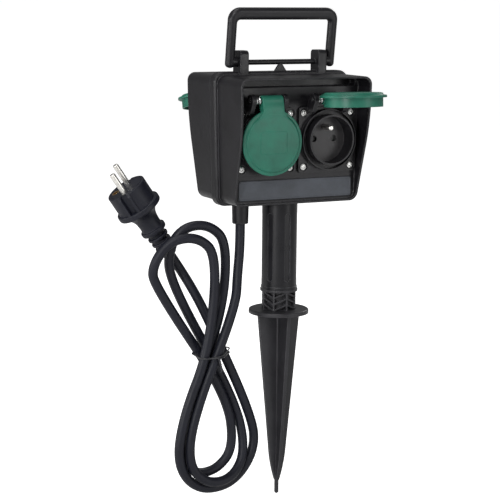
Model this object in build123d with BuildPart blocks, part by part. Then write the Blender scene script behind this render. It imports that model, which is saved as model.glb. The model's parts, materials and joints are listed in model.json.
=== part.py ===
from build123d import *
from math import sin, cos, tan, radians, hypot
import os

# Garden socket post: a two-shell case with four sprung-lid sockets, a carrying handle,
# a round post on a ground spike, and a mains cord tied in a figure-of-eight hank.
# Millimetres. The origin is on the post axis at the underside of the spike's flange,
# +Z is up and -Y is the front.

os.makedirs("parts", exist_ok=True)

# case
case_mid_y = 5.0
case_half_depth = 52.0
case_roof_z = 205.3
case_floor_z = 98.5
case_roof_half = 61.5
case_floor_half = 58.5
case_corner_r = 7.0
case_wall = 2.5
rim_wall = 1.6               # wall round the recesses
case_reach = 90.0            # how far a cutting block reaches past the case
joint_y = 7.2                # plane where the two shells meet
rim_low_back = 17.5          # how far the rim lies back at the case floor
rim_knee_back = 6.5
rim_knee_rise = 43.5         # above the floor
rim_upright = 17.3           # the rim stands upright this far below the roof
recess_back = 20.0           # from the rim's upright part to the recess wall
slot_height = 6.3            # dark slot under the hood
slot_extra_depth = 8.0
band_rise = 2.8
band_width = 9.4
band_bevel = 1.2
band_taper = 45.0            # degrees
corner_growth_share = 0.45   # how much the corners grow with the outline
groove_depth = 1.2           # groove beside the band, in the rear shell
groove_width = 1.0

panel_side_gap = 4.5         # blank label panel under the sockets
panel_rise_z = 4.0           # above the floor
panel_height = 17.0
panel_rise = 0.5
panel_corner_r = 1.5

screw_low_side = 7.1         # screws, in from the sides, up from the floor and down from the roof
screw_low_up = 11.0
screw_high_side = 8.9
screw_high_down = 15.3
case_column_r = 4.8
case_counterbore_r = 3.5
case_screw_head_r = 3.2
case_screw_head_t = 2.2
case_screw_seat = 3.0        # thickness of column under the head
case_screw_shank_r = 1.7
case_screw_bite = 16.0       # shank length in the front column
screw_clearance = 0.06

gasket_t = 1.5
gasket_edge = 0.9            # case wall left outside the gasket
gasket_width = 1.2

# lugs, tie bar and handle
lug_inner_x = 33.5
lug_t = 7.5
lug_centre_y = 2.5
lug_half_depth = 7.3
lug_height = 20.5            # above the roof
lug_corner_r = 3.5
lug_root = 1.0
lug_overhang_gap = 0.3
tie_bar_r = 2.2
tie_bar_height = 10.5        # above the roof
gusset_half = 6.0
gusset_t = 3.4
pivot_height = 11.0          # above the roof
handle_side_gap = 3.0        # between a lug and the handle's leg
handle_leg = 7.5
handle_depth = 8.0
handle_reach = 45.5          # from the pivot to the top
handle_grip = 10.1
handle_end_drop = 4.9        # below the pivot
handle_corner_r = 10.5
handle_inner_r = 3.0
handle_edge_r = 3.3
handle_end_r = 3.0
handle_lean = 7.5            # degrees toward the front
peg_r = 4.0
peg_stop = 1.5               # lug left beyond the peg's end
peg_clearance = 0.1
peg_end_gap = 0.3

# post and spike
post_r = 15.2
post_wall = 2.4
post_top_up = 19.5           # above the case floor
post_foot_grow = 0.4
post_foot_h = 2.5
flute_low_up = 7.7           # above the post's lower end
flute_high_down = 10.5       # below the case floor
flute_width = 5.0
flute_depth = 1.2
flute_count = 6
flute_first_turn = -90.0     # degrees, the first flute faces the front
post_hole_gap = 0.3
post_flange_grow = 3.1
post_flange_t = 3.0
post_plate_gap = 0.1
post_plate_grow = 8.8
post_plate_t = 2.5

flange_r = 26.0
flange_t = 3.5
flange_edge_r = 1.2
hub_height = 17.8            # from the flange to the post
hub_core_in = 4.2            # inside the post's radius
hub_rib_in = 0.2
hub_rib_t = 1.6
hub_rib_count = 8
hub_disc_out = 1.0
hub_disc_t = 1.8
brace_levels = 3
brace_t = 1.3
brace_length = 11.4
brace_slant = 24.0
brace_in = 1.0
spigot_fit = 0.2
spigot_length = 23.7
spigot_wall = 3.0
blade_t = 3.0
blade_top_half = 20.0
blade_low_half = 7.6
blade_length = 126.0         # straight part, below the flange
blade_arc_half = 5.3
blade_arc_drop = 13.0        # below the straight part
blade_end_half = 1.9
blade_end_drop = 25.0
spike_core_top_r = 2.8
spike_core_low_r = 1.9
spike_tip_drop = 37.2
spike_tip_round = 1.2

# sockets
socket_x = 29.0
socket_down = 53.4           # below the roof
plate_width = 55.0
plate_t = 2.3
plate_corner_r = 3.0
plate_screw_offset = 22.6
plate_screw_sink_r = 3.8
plate_screw_sink = 1.2
plate_screw_hole_r = 1.7
plate_screw_head_r = 2.6
plate_screw_head_t = 0.9
plate_screw_r = 1.4
plate_screw_length = 8.5
plate_boss_r = 3.2
plate_boss_h = 4.2
plate_pilot_r = 1.5
guard_outer_r = 25.7
guard_inner_r = 24.9
guard_height = 4.3
collar_r = 21.2
collar_height = 8.9
well_r = 19.7
well_depth = 15.0
well_floor_t = 2.6
pin_offset = 9.5
pin_hole_r = 2.6
earth_offset = 10.0
earth_r = 2.4
earth_tip = 7.0
earth_round = 1.2
earth_shoulder_r = 2.9
earth_tail_r = 1.5
earth_fit = 0.05
insert_outer_r = 22.8
insert_inner_r = 21.2
insert_depth = 26.0
insert_gap = 0.3
back_fit = 0.1
back_front_z = -11.4
back_t = 14.6
contact_r = 3.4
contact_bore_r = 2.5
contact_pocket_r = 3.5
contact_front_z = -12.3
contact_length = 11.7
tail_width = 4.0
tail_t = 0.8
tail_slot_gap = 0.2
tail_end_z = -28.0

shutter_front_z = -9.0
shutter_t = 2.0
shutter_left = -19.5
shutter_right = 13.5
shutter_half = 4.5
shutter_window_r = 2.8
shutter_window_xs = (-15.5, 3.5)
guide_inner = 5.0
guide_t = 1.8
guide_left = -19.0
guide_right = 19.0

axis_up = 34.4               # hinge axis above the socket centre
axis_out = 7.7               # and in front of the plate
hinge_pin_r = 1.5
hinge_pin_fit = 0.02
ear_left_x = -19.5
ear_right_x = 10.0
ear_left_t = 3.5
ear_right_t = 3.6
ear_r = 5.3
ear_outline = ((22.6, 0), (28.5, 0), (36.4, 3.0), (33.0, 12.6), (24.4, 8.4), (22.6, 6.4))

lid_under = 9.4
lid_rim_r = 27.2
lid_rim_t = 1.8
lid_cut_up = 23.9            # the rim stops here below the hinge neck
plateau_r = 23.3
plateau_t = 1.4
lid_groove_r = 24.4
lid_groove_depth = 0.5
skirt_outer_r = 24.3
skirt_inner_r = 22.9
skirt_low = 1.8
seal_outer_r = 22.7
seal_inner_r = 18.8
seal_t = 0.8
seal_seat = 0.6
seal_fit = 0.1
badge_width = 24.0
badge_height = 18.0
badge_corner_r = 2.0
badge_rise = 0.3
neck_half = 9.5
neck_outline = ((22.95, 9.4), (27.6, 5.4), (34.4, 3.6), (34.4, 11.8), (30.0, 12.6), (22.95, 12.6))
neck_pocket_half = 7.4
neck_pocket_outline = ((24.4, 9.0), (28.0, 4.0), (29.6, 4.0), (29.6, 10.2), (24.4, 10.2))
knuckle_r = 4.1
knuckle_clearance = 0.08

spring_wire = 0.9
spring_mean_r = 3.0
spring_pitch = 1.4
spring_turns = 3
spring_start_x = -14.8

lid_angles = {"front_left": 0, "front_right": 93.0, "rear_left": 78.0, "rear_right": 0}

# cord, gland and plug
cord_r = 4.15
gland_x = -36.7
gland_y = 2.5
gland_top_r = 7.25
gland_low_r = 6.9
gland_drop = 19.0            # below the case floor
gland_chamfer = 0.6
gland_neck_r = 6.2
gland_fit = 0.1
gland_sleeve_fit = 0.35
gland_flange_r = 8.0
gland_flange_t = 3.0
gland_bore_r = 4.3
inner_cord_up = 24.0         # above the case floor
clamp_up = 17.0
clamp_height = 6.0
clamp_half = 12.2
clamp_bar_y = 4.4
clamp_bar_t = 5.0
clamp_groove_r = 4.18
saddle_top_y = 0.6
clamp_screw_x = 8.6
clamp_screw_r = 1.4
clamp_screw_hole_r = 1.5
clamp_head_r = 2.6
clamp_head_t = 1.6
clamp_screw_bite = 9.0

fillet_share = 0.45
waist_z = -31.0
front_strand_x = -68.8       # where the front strands cross the waist
front_strand_slope = 0.43
front_strand_step = 9.7
back_strand_x = -61.6
back_strand_slope = 0.58
back_strand_fan = 0.2        # the back strands spread a little, left to right
back_strand_step = 22.0
row_ys = (-9.5, -1.9, 6.9, 12.8)
front_rows = 2
end_step = 0.5               # steps from the middle strand to the lead and the tail
loop_corners = 4
lead_split_z = -8.0
tail_split_z = -14.0

# Each loop of the hank: centre x and z, radius, first and last angle, strand in and out
# (row, steps from the middle strand), then the y of its corners.
hank_loops = (
    (-59.6, -113.0, 29.7, 172.0, 370.0, (0, 0.5), (3, 0), (-9.5, -9.5, -5.0, 5.0)),
    (-76.3, 55.0, 25.0, 190.0, -5.0, (3, 0), (1, 0), (4.5, 4.0, 2.0, -1.9)),
    (-67.1, -109.6, 26.9, 172.0, 370.0, (1, 0), (2, -0.5), (-1.5, 2.0, 6.9, 6.9)),
    (-91.3, 45.0, 26.5, 197.0, -5.0, (2, -0.5), (0, -0.5), (-2.0, -5.5, -9.5, -9.5)),
    (-59.3, -110.7, 39.6, 172.0, 370.0, (0, -0.5), (2, 0.5), (-9.5, -1.5, 3.5, 6.9)),
)
lead_drop_z = 58.0
lead_bend = (-40.2, 0, 36.0)
lead_join_z = 10.0
tail_join_z = 2.0
tail_bend = (-76.2, 11.0, 22.6)
tail_straight = 16.0

plug_end = (-94.9, 18.5, 54.6)
plug_front = (-134.8, 19.6, 112.8)
plug_roll = 55.0
plug_fit = 0.02
plug_pin_r = 2.4
plug_pin_length = 19.0
plug_pin_root = 8.0
plug_root_grow = 0.6         # the pins are thicker inside the plug
plug_pin_offset = 9.5
plug_rib_r = 8.5
plug_groove_r = 6.7
plug_rib_pitch = 5.4
plug_rib_count = 4
plug_first_rib = 2.0
plug_ring_r = 11.0
plug_ring_low = 24.5
plug_ring_t = 4.0
plug_neck_r = 9.6
plug_neck_high = 36.0
plug_collar_r = 18.8
plug_collar_low = 48.0
plug_collar_t = 4.5
plug_head_r = 17.4
plug_groove_width = 6.0
plug_groove_depth = 3.0
earth_socket_r = 3.2
earth_socket_bore_r = 2.5
earth_socket_depth = 15.0

tie_t = 1.2
tie_height = 2.2
tie_slack = 2.0              # room round each slanting strand

wire_r = 1.3
wire_spread = 2.1
wire_rise = 10.0
wire_lane_down = 6.9         # below the sockets' centres
wire_lanes = (("live", -1.0, 0.5, 4.8), ("neutral", 1.0, 0.5, 8.0), ("earth", 0, -1.0, 1.6))
wire_step_x = 7.0
wire_mid_x = -16.0
wire_mid_down = 0.9
wire_end_x = 30.0
wire_end_up = 6.1

# sizes worked out from the ones above
rim_low_half_depth = case_half_depth - rim_low_back
rim_knee_half_depth = case_half_depth - rim_knee_back
rim_knee_z = case_floor_z + rim_knee_rise
rim_top_z = case_roof_z - rim_upright
recess_half_depth = case_half_depth - recess_back
slot_low_z = case_roof_z - case_wall - slot_height
panel_half_width = case_floor_half - panel_side_gap
panel_low_z = case_floor_z + panel_rise_z
case_screw_low = (case_floor_half - screw_low_side, case_floor_z + screw_low_up)
case_screw_high = (case_roof_half - screw_high_side, case_roof_z - screw_high_down)
lug_top_z = case_roof_z + lug_height
tie_bar_z = case_roof_z + tie_bar_height
pivot_z = case_roof_z + pivot_height
peg_end_x = lug_inner_x + peg_stop
lug_bore_end_x = peg_end_x - peg_end_gap
handle_half_inner = lug_inner_x + lug_t + handle_side_gap
handle_half_outer = handle_half_inner + handle_leg
handle_top_z = pivot_z + handle_reach
handle_inner_top_z = handle_top_z - handle_grip
handle_end_z = pivot_z - handle_end_drop
post_bore_r = post_r - post_wall
post_low_z = flange_t + hub_height
post_top_z = case_floor_z + post_top_up
post_foot_r = post_r + post_foot_grow
post_flange_r = post_r + post_flange_grow
post_plate_half = post_r + post_plate_grow
flute_low_z = post_low_z + flute_low_up
flute_high_z = case_floor_z - flute_high_down
hub_core_r = post_r - hub_core_in
hub_rib_r = post_r - hub_rib_in
hub_disc_r = post_r + hub_disc_out
brace_reach = post_r - brace_in
spigot_r = post_bore_r - spigot_fit
spigot_top_z = post_low_z + spigot_length
spigot_bore_r = spigot_r - spigot_wall
blade_low_z = -blade_length
blade_arc_z = blade_low_z - blade_arc_drop
blade_end_z = blade_low_z - blade_end_drop
spike_tip_z = blade_low_z - spike_tip_drop
socket_z = case_roof_z - socket_down
back_r = insert_inner_r - back_fit
gland_low_z = case_floor_z - gland_drop
inner_cord_top_z = case_floor_z + inner_cord_up
clamp_low_z = case_floor_z + clamp_up
wire_lane_z = socket_z - wire_lane_down
wire_mid = (wire_mid_x, socket_z - wire_mid_down)
wire_end = (wire_end_x, socket_z + wire_end_up)
front_rim_y = case_mid_y - case_half_depth
rear_rim_y = case_mid_y + case_half_depth
recess_front_y = case_mid_y - recess_half_depth
recess_rear_y = case_mid_y + recess_half_depth
well_floor_z = collar_height - well_depth
well_back_z = well_floor_z - well_floor_t
back_rear_z = back_front_z - back_t
case_inside_floor = case_floor_z + case_wall


def save(piece, name):
    """Label one piece and write it out."""
    piece.label = name
    export_step(piece, "parts/" + name + ".step")


def round_bar(plane, radius, height, mode=Mode.ADD, at=((0, 0),)):
    """Cylinders, or round holes, standing on a plane at one or more places."""
    with BuildSketch(plane) as profile:
        with Locations(*at):
            Circle(radius)
    extrude(profile.sketch, amount=height, mode=mode)


def ring_bar(plane, outer, inner, height, mode=Mode.ADD):
    """A ring standing on a plane."""
    with BuildSketch(plane) as profile:
        Circle(outer)
        Circle(inner, mode=Mode.SUBTRACT)
    extrude(profile.sketch, amount=height, mode=mode)


def block(plane, width, depth, height, mode=Mode.ADD, at=((0, 0),), corner=0):
    """Blocks standing on a plane at one or more places, with rounded corners if given."""
    with BuildSketch(plane) as profile:
        with Locations(*at):
            if corner > 0:
                RectangleRounded(width, depth, corner)
            else:
                Rectangle(width, depth)
    extrude(profile.sketch, amount=height, mode=mode)


def outline_bar(plane, points, height, mode=Mode.ADD):
    """A bar whose section is a closed outline of straight edges."""
    with BuildSketch(plane) as profile:
        with BuildLine():
            Polyline(*points, close=True)
        make_face()
    extrude(profile.sketch, amount=height, mode=mode)


def case_section(y, grow):
    """The case seen from the front, as a face at this y, larger or smaller all round."""
    with BuildSketch(Plane.XZ.offset(-y)) as profile:
        with BuildLine():
            Polyline(
                (-case_roof_half - grow, case_roof_z + grow),
                (case_roof_half + grow, case_roof_z + grow),
                (case_floor_half + grow, case_floor_z - grow),
                (-case_floor_half - grow, case_floor_z - grow),
                close=True,
            )
        make_face()
        fillet(profile.vertices(), case_corner_r + grow * corner_growth_share)
    return profile.sketch


def rim_trim(side):
    """Cut the shell back to the sloping rim; side is -1 for the front, 1 for the rear."""
    with BuildSketch(Plane.YZ.offset(-case_reach)) as profile:
        with BuildLine():
            knee = (case_mid_y + side * rim_knee_half_depth, rim_knee_z)
            top = (case_mid_y + side * case_half_depth, rim_top_z)
            low = (case_mid_y + side * rim_low_half_depth, case_floor_z)
            TangentArc(top, knee, tangent=(0, -1))
            Polyline(
                knee,
                low,
                (case_mid_y + side * rim_low_half_depth, case_floor_z - band_rise),
                (case_mid_y - side * case_reach, case_floor_z - band_rise),
                (case_mid_y - side * case_reach, case_roof_z + case_reach),
                (case_mid_y + side * case_half_depth, case_roof_z + case_reach),
                top,
            )
        make_face()
    extrude(profile.sketch, amount=2 * case_reach, mode=Mode.INTERSECT)


def socket_plane(front, x):
    """The frame of one socket: x along the plate, y up, z out of the case."""
    if front:
        return Plane(origin=(x, recess_front_y - plate_t, socket_z), x_dir=(1, 0, 0), z_dir=(0, -1, 0))
    return Plane(origin=(x, recess_rear_y + plate_t, socket_z), x_dir=(-1, 0, 0), z_dir=(0, 1, 0))


def across(base, x):
    """A plane square to the hinge at this x, with its axes up and out of the case."""
    return Plane(origin=base.origin + base.x_dir * x, x_dir=base.y_dir, z_dir=base.x_dir)


sockets = {
    "front_left": socket_plane(True, -socket_x),
    "front_right": socket_plane(True, socket_x),
    "rear_left": socket_plane(False, -socket_x),
    "rear_right": socket_plane(False, socket_x),
}
screw_places = [
    (i * plate_screw_offset, j * plate_screw_offset) for i in (-1, 1) for j in (-1, 1)
]
case_screw_places = [(i * x, z) for i in (-1, 1) for x, z in (case_screw_low, case_screw_high)]


def shell_sockets(names):
    """Bosses for the plate screws, their pilot holes, and the holes for the inserts."""
    for name in names:
        wall_back = sockets[name].offset(-plate_t - case_wall)
        round_bar(wall_back.offset(-plate_boss_h), plate_boss_r, plate_boss_h, at=screw_places)
        pilot = wall_back.offset(-plate_boss_h)
        round_bar(pilot, plate_pilot_r, plate_boss_h + case_wall, Mode.SUBTRACT, at=screw_places)
        round_bar(wall_back, insert_outer_r + insert_gap, case_wall, Mode.SUBTRACT)


def shell_body(side, grow_band):
    """One half of the case: outside, recess, slot under the hood, and hollow inside."""
    rim_y = case_mid_y + side * case_half_depth
    recess_y = case_mid_y + side * recess_half_depth
    slot_y = recess_y - side * slot_extra_depth
    inside_y = recess_y - side * case_wall
    beside_slot_y = slot_y - side * case_wall
    extrude(case_section(joint_y, 0), amount=joint_y - rim_y)
    if grow_band:
        extrude(case_section(joint_y, band_rise), amount=band_width - band_bevel)
        extrude(
            case_section(joint_y - band_width + band_bevel, band_rise),
            amount=band_bevel,
            taper=band_taper,
        )
    rim_trim(side)
    opening = case_section(recess_y, -rim_wall)
    extrude(opening, amount=-side * case_reach, mode=Mode.SUBTRACT)
    middle = Plane.XZ.offset(-slot_y)
    slot_top = case_roof_z - case_wall
    slot_half = case_roof_half - 2 * case_wall
    block(
        middle,
        2 * slot_half,
        slot_top - slot_low_z,
        -side * case_reach,
        Mode.SUBTRACT,
        at=((0, (slot_top + slot_low_z) / 2),),
        corner=case_wall,
    )
    hollow = case_section(joint_y, -case_wall)
    extrude(hollow, amount=joint_y - beside_slot_y, mode=Mode.SUBTRACT)
    with BuildSketch(Plane.XZ.offset(-beside_slot_y)) as low_hollow:
        add(case_section(beside_slot_y, -case_wall))
        with Locations((0, slot_low_z - case_wall + case_reach / 2)):
            Rectangle(2 * case_reach, case_reach, mode=Mode.SUBTRACT)
    extrude(low_hollow.sketch, amount=-(inside_y - beside_slot_y), mode=Mode.SUBTRACT)


# front shell
with BuildPart() as front_shell:
    shell_body(-1, True)

    # screw columns from the recess wall to the joint
    column_plane = Plane.XZ.offset(-joint_y)
    column_length = joint_y - recess_front_y - case_wall
    round_bar(column_plane, case_column_r, column_length, at=case_screw_places)
    round_bar(
        column_plane,
        case_screw_shank_r + screw_clearance,
        case_screw_bite + case_wall,
        Mode.SUBTRACT,
        at=case_screw_places,
    )

    shell_sockets(("front_left", "front_right"))

    # saddle that the cord is clamped on
    saddle = Plane.XZ.offset(-saddle_top_y)
    clamp_mid_z = clamp_low_z + clamp_height / 2
    block(
        saddle,
        2 * clamp_half,
        clamp_height,
        saddle_top_y - recess_front_y - case_wall,
        at=((gland_x, clamp_mid_z),),
    )
    clamp_screw_places = [(gland_x + i * clamp_screw_x, clamp_mid_z) for i in (-1, 1)]
    clamp_hole_depth = clamp_screw_bite + case_wall
    round_bar(saddle, clamp_screw_hole_r, clamp_hole_depth, Mode.SUBTRACT, at=clamp_screw_places)
    cord_bed = Plane.XY.offset(clamp_low_z)
    round_bar(cord_bed, clamp_groove_r, clamp_height, Mode.SUBTRACT, at=((gland_x, gland_y),))

    # half plate that steadies the post above its flange
    plate_low_z = case_inside_floor + post_flange_t + post_plate_gap
    front_depth = joint_y - recess_front_y - case_wall
    block(
        Plane.XY.offset(plate_low_z),
        2 * post_plate_half,
        front_depth,
        post_plate_t,
        at=((0, joint_y - front_depth / 2),),
    )

    # lugs for the handle, with the tie bar and its gusset between them
    for i in (-1, 1):
        lug_start = i * lug_inner_x if i > 0 else i * (lug_inner_x + lug_t)
        lug_rear_y = lug_centre_y + lug_half_depth
        lug_low = case_roof_z + band_rise - lug_root
        with BuildSketch(Plane.YZ.offset(lug_start)) as lug_profile:
            with BuildLine():
                Polyline(
                    (joint_y, case_roof_z - lug_root),
                    (lug_centre_y - lug_half_depth, case_roof_z - lug_root),
                    (lug_centre_y - lug_half_depth, lug_top_z),
                    (lug_rear_y, lug_top_z),
                    (lug_rear_y, case_roof_z + lug_overhang_gap),
                    (joint_y, case_roof_z + lug_overhang_gap),
                    close=True,
                )
            make_face()
            fillet(lug_profile.vertices().group_by(Axis.Y)[-1], lug_corner_r)
        extrude(lug_profile.sketch, amount=lug_t)
        bore_plane = Plane(origin=(i * lug_bore_end_x, lug_centre_y, pivot_z), z_dir=(i, 0, 0))
        round_bar(bore_plane, peg_r + peg_clearance, lug_t, Mode.SUBTRACT)
    with BuildSketch(Plane.YZ.offset(-lug_inner_x - lug_root)) as bar_profile:
        with Locations((lug_centre_y, tie_bar_z)):
            Circle(tie_bar_r)
    extrude(bar_profile.sketch, amount=2 * (lug_inner_x + lug_root))
    gusset_plane = Plane.XZ.offset(-lug_centre_y - gusset_t / 2)
    outline_bar(
        gusset_plane,
        ((-gusset_half, lug_low), (gusset_half, lug_low), (0, tie_bar_z)),
        gusset_t,
    )

    # rebate for the gasket, across which the screw columns still reach the joint
    extrude(case_section(joint_y, -gasket_edge), amount=gasket_t, mode=Mode.SUBTRACT)
    round_bar(column_plane, case_column_r, gasket_t, at=case_screw_places)
    round_bar(
        column_plane,
        case_screw_shank_r + screw_clearance,
        gasket_t,
        Mode.SUBTRACT,
        at=case_screw_places,
    )

    # holes in the floor for the post and the gland
    floor_cut = Plane.XY.offset(case_floor_z - band_rise - case_wall)
    cut_height = plate_low_z + post_plate_t - case_floor_z + band_rise + 2 * case_wall
    round_bar(floor_cut, post_r + post_hole_gap, cut_height, Mode.SUBTRACT)
    gland_cut = case_wall + band_rise + case_wall
    round_bar(floor_cut, gland_neck_r + gland_fit, gland_cut, Mode.SUBTRACT, at=((gland_x, gland_y),))
    block(
        floor_cut,
        2 * (gland_neck_r + gland_fit),
        joint_y - gland_y,
        gland_cut,
        Mode.SUBTRACT,
        at=((gland_x, (joint_y + gland_y) / 2),),
    )
    sleeve_r = gland_top_r + gland_sleeve_fit
    sleeve_cut = band_rise + case_wall
    round_bar(floor_cut, sleeve_r, sleeve_cut, Mode.SUBTRACT, at=((gland_x, gland_y),))
    block(
        floor_cut,
        2 * sleeve_r,
        joint_y - gland_y,
        sleeve_cut,
        Mode.SUBTRACT,
        at=((gland_x, (joint_y + gland_y) / 2),),
    )

    # blank label panel on the recess wall
    panel_plane = Plane.XZ.offset(-recess_front_y)
    block(
        panel_plane,
        2 * panel_half_width,
        panel_height,
        panel_rise,
        at=((0, panel_low_z + panel_height / 2),),
        corner=panel_corner_r,
    )
save(front_shell.part, "front_shell")

# rear shell
with BuildPart() as rear_shell:
    shell_body(1, False)
    rear_column_plane = Plane.XZ.offset(-recess_rear_y + case_wall)
    rear_column_length = recess_rear_y - case_wall - joint_y
    round_bar(rear_column_plane, case_column_r, rear_column_length, at=case_screw_places)
    round_bar(
        Plane.XZ.offset(-recess_rear_y),
        case_screw_shank_r + screw_clearance,
        recess_rear_y - joint_y,
        Mode.SUBTRACT,
        at=case_screw_places,
    )
    round_bar(
        Plane.XZ.offset(-recess_rear_y),
        case_counterbore_r,
        recess_rear_y - joint_y - case_screw_seat,
        Mode.SUBTRACT,
        at=case_screw_places,
    )
    shell_sockets(("rear_left", "rear_right"))
    rear_depth = recess_rear_y - case_wall - joint_y
    block(
        Plane.XY.offset(plate_low_z),
        2 * post_plate_half,
        rear_depth,
        post_plate_t,
        at=((0, joint_y + rear_depth / 2),),
    )
    with BuildSketch(Plane.XZ.offset(-joint_y - groove_width)) as groove:
        add(case_section(joint_y + groove_width, band_rise))
        add(case_section(joint_y + groove_width, -groove_depth), mode=Mode.SUBTRACT)
    extrude(groove.sketch, amount=groove_width, mode=Mode.SUBTRACT)
    round_bar(floor_cut, post_r + post_hole_gap, cut_height, Mode.SUBTRACT)
    round_bar(floor_cut, gland_neck_r + gland_fit, gland_cut, Mode.SUBTRACT, at=((gland_x, gland_y),))
save(rear_shell.part, "rear_shell")

# gasket in the joint
with BuildPart() as case_gasket:
    with BuildSketch(Plane.XZ.offset(-joint_y)) as gasket_profile:
        add(case_section(joint_y, -gasket_edge))
        add(case_section(joint_y, -gasket_edge - gasket_width), mode=Mode.SUBTRACT)
    extrude(gasket_profile.sketch, amount=gasket_t)
    round_bar(floor_cut, post_r + 2 * post_hole_gap, cut_height, Mode.SUBTRACT)
    gasket_gland_r = sleeve_r + gland_sleeve_fit
    round_bar(floor_cut, gasket_gland_r, gland_cut, Mode.SUBTRACT, at=((gland_x, gland_y),))
save(case_gasket.part, "case_gasket")

# case screws, driven from the rear
screw_head_y = joint_y + case_screw_seat
with BuildPart() as case_screws:
    head_plane = Plane.XZ.offset(-screw_head_y - case_screw_head_t)
    round_bar(head_plane, case_screw_head_r, case_screw_head_t, at=case_screw_places)
    round_bar(
        head_plane,
        case_screw_shank_r,
        case_screw_head_t + case_screw_seat + case_screw_bite,
        at=case_screw_places,
    )
save(case_screws.part, "case_screws")

# carrying handle, drawn upright and then leaned
with BuildPart() as handle:
    with BuildSketch(Plane.XZ.offset(-lug_centre_y - handle_depth / 2)) as bow:
        with BuildLine():
            Polyline(
                (-handle_half_outer, handle_end_z),
                (-handle_half_outer, handle_top_z),
                (handle_half_outer, handle_top_z),
                (handle_half_outer, handle_end_z),
                (handle_half_inner, handle_end_z),
                (handle_half_inner, handle_inner_top_z),
                (-handle_half_inner, handle_inner_top_z),
                (-handle_half_inner, handle_end_z),
                close=True,
            )
        make_face()
        top_corners = bow.vertices().group_by(Axis.Y)[-1]
        fillet(top_corners, handle_corner_r)
        inner_corners = bow.vertices().filter_by(
            lambda v: abs(v.Y - handle_inner_top_z) < handle_edge_r
            and abs(v.X) < handle_half_inner + handle_edge_r
        )
        fillet(inner_corners, handle_inner_r)
    extrude(bow.sketch, amount=handle_depth)
    end_edges = handle.edges().group_by(Axis.Z)[0].filter_by(Axis.X)
    fillet(end_edges, handle_end_r)
    bow_edges = [
        e for e in handle.faces().sort_by(Axis.Y)[0].edges() + handle.faces().sort_by(Axis.Y)[-1].edges()
        if e.center().Z > handle_end_z + handle_end_r + handle_end_r / 2
    ]
    fillet(bow_edges, handle_edge_r)
    for i in (-1, 1):
        peg_plane = Plane(origin=(i * peg_end_x, lug_centre_y, pivot_z), z_dir=(i, 0, 0))
        round_bar(peg_plane, peg_r, handle_half_inner + handle_edge_r - peg_end_x)
pivot_axis = Axis((0, lug_centre_y, pivot_z), (1, 0, 0))
save(handle.part.rotate(pivot_axis, handle_lean), "handle")

# post tube
with BuildPart() as post_tube:
    round_bar(Plane.XY.offset(post_low_z), post_r, post_top_z - post_low_z)
    round_bar(Plane.XY.offset(post_low_z), post_foot_r, post_foot_h)
    round_bar(Plane.XY.offset(case_inside_floor), post_flange_r, post_flange_t)
    round_bar(Plane.XY.offset(post_low_z), post_bore_r, post_top_z - post_low_z, Mode.SUBTRACT)
    flute_mid_z = (flute_low_z + flute_high_z) / 2
    for k in range(flute_count):
        turn = 360 / flute_count * k + flute_first_turn
        outward = (cos(radians(turn)), sin(radians(turn)), 0)
        side_dir = (-sin(radians(turn)), cos(radians(turn)), 0)
        bed = post_r - flute_depth
        flute_plane = Plane(
            origin=(outward[0] * bed, outward[1] * bed, flute_mid_z), x_dir=side_dir, z_dir=outward
        )
        with BuildSketch(flute_plane) as flute:
            SlotOverall(flute_high_z - flute_low_z, flute_width, rotation=flute_first_turn)
        extrude(flute.sketch, amount=2 * flute_depth, mode=Mode.SUBTRACT)
save(post_tube.part, "post_tube")

# ground spike
with BuildPart() as ground_spike:
    round_bar(Plane.XY, flange_r, flange_t)
    rim_edge = ground_spike.edges().filter_by(GeomType.CIRCLE).sort_by(Axis.Z)[-1]
    fillet(rim_edge, flange_edge_r)
    round_bar(Plane.XY.offset(flange_t), hub_core_r, post_low_z - flange_t)
    round_bar(Plane.XY.offset(post_low_z - hub_disc_t), hub_disc_r, hub_disc_t)
    round_bar(Plane.XY.offset(post_low_z), spigot_r, spigot_top_z - post_low_z)
    with PolarLocations(0, hub_rib_count):
        Box(hub_rib_r, hub_rib_t, post_low_z, align=(Align.MIN, Align.CENTER, Align.MIN))
    brace_pitch = (post_low_z - hub_disc_t - flange_t) / brace_levels
    for k in range(hub_rib_count):
        turn = 360 / hub_rib_count * (k + 1 / 2)
        lean = brace_slant if k % 2 else -brace_slant
        for level in range(brace_levels):
            brace_z = flange_t + brace_pitch * (level + 1 / 2)
            out = (cos(radians(turn)), sin(radians(turn)), 0)
            along = (-sin(radians(turn)), cos(radians(turn)), 0)
            start = hub_core_r - hub_rib_t
            brace_plane = Plane(origin=(out[0] * start, out[1] * start, brace_z), x_dir=along, z_dir=out)
            with BuildSketch(brace_plane) as brace:
                Rectangle(brace_length, brace_t, rotation=lean)
            extrude(brace.sketch, amount=brace_reach - start)
    round_bar(Plane.XY.offset(flange_t), spigot_bore_r, spigot_top_z - flange_t, Mode.SUBTRACT)
    for blade_plane in (Plane.XZ, Plane.YZ):
        with BuildSketch(blade_plane) as blade:
            with BuildLine():
                Polyline(
                    (-blade_low_half, blade_low_z),
                    (-blade_top_half, 0),
                    (blade_top_half, 0),
                    (blade_low_half, blade_low_z),
                )
                ThreePointArc(
                    (blade_low_half, blade_low_z),
                    (blade_arc_half, blade_arc_z),
                    (blade_end_half, blade_end_z),
                )
                Line((blade_end_half, blade_end_z), (-blade_end_half, blade_end_z))
                ThreePointArc(
                    (-blade_end_half, blade_end_z),
                    (-blade_arc_half, blade_arc_z),
                    (-blade_low_half, blade_low_z),
                )
            make_face()
        extrude(blade.sketch, amount=blade_t / 2, both=True)
    with BuildSketch(Plane.XZ) as core:
        with BuildLine():
            Polyline(
                (0, 0),
                (spike_core_top_r, 0),
                (spike_core_low_r, blade_end_z),
                (spike_core_low_r, spike_tip_z + spike_tip_round),
                (spike_core_low_r - spike_tip_round, spike_tip_z),
                (0, spike_tip_z),
                close=True,
            )
        make_face()
    revolve(core.sketch, axis=Axis.Z)
save(ground_spike.part, "ground_spike")


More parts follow.
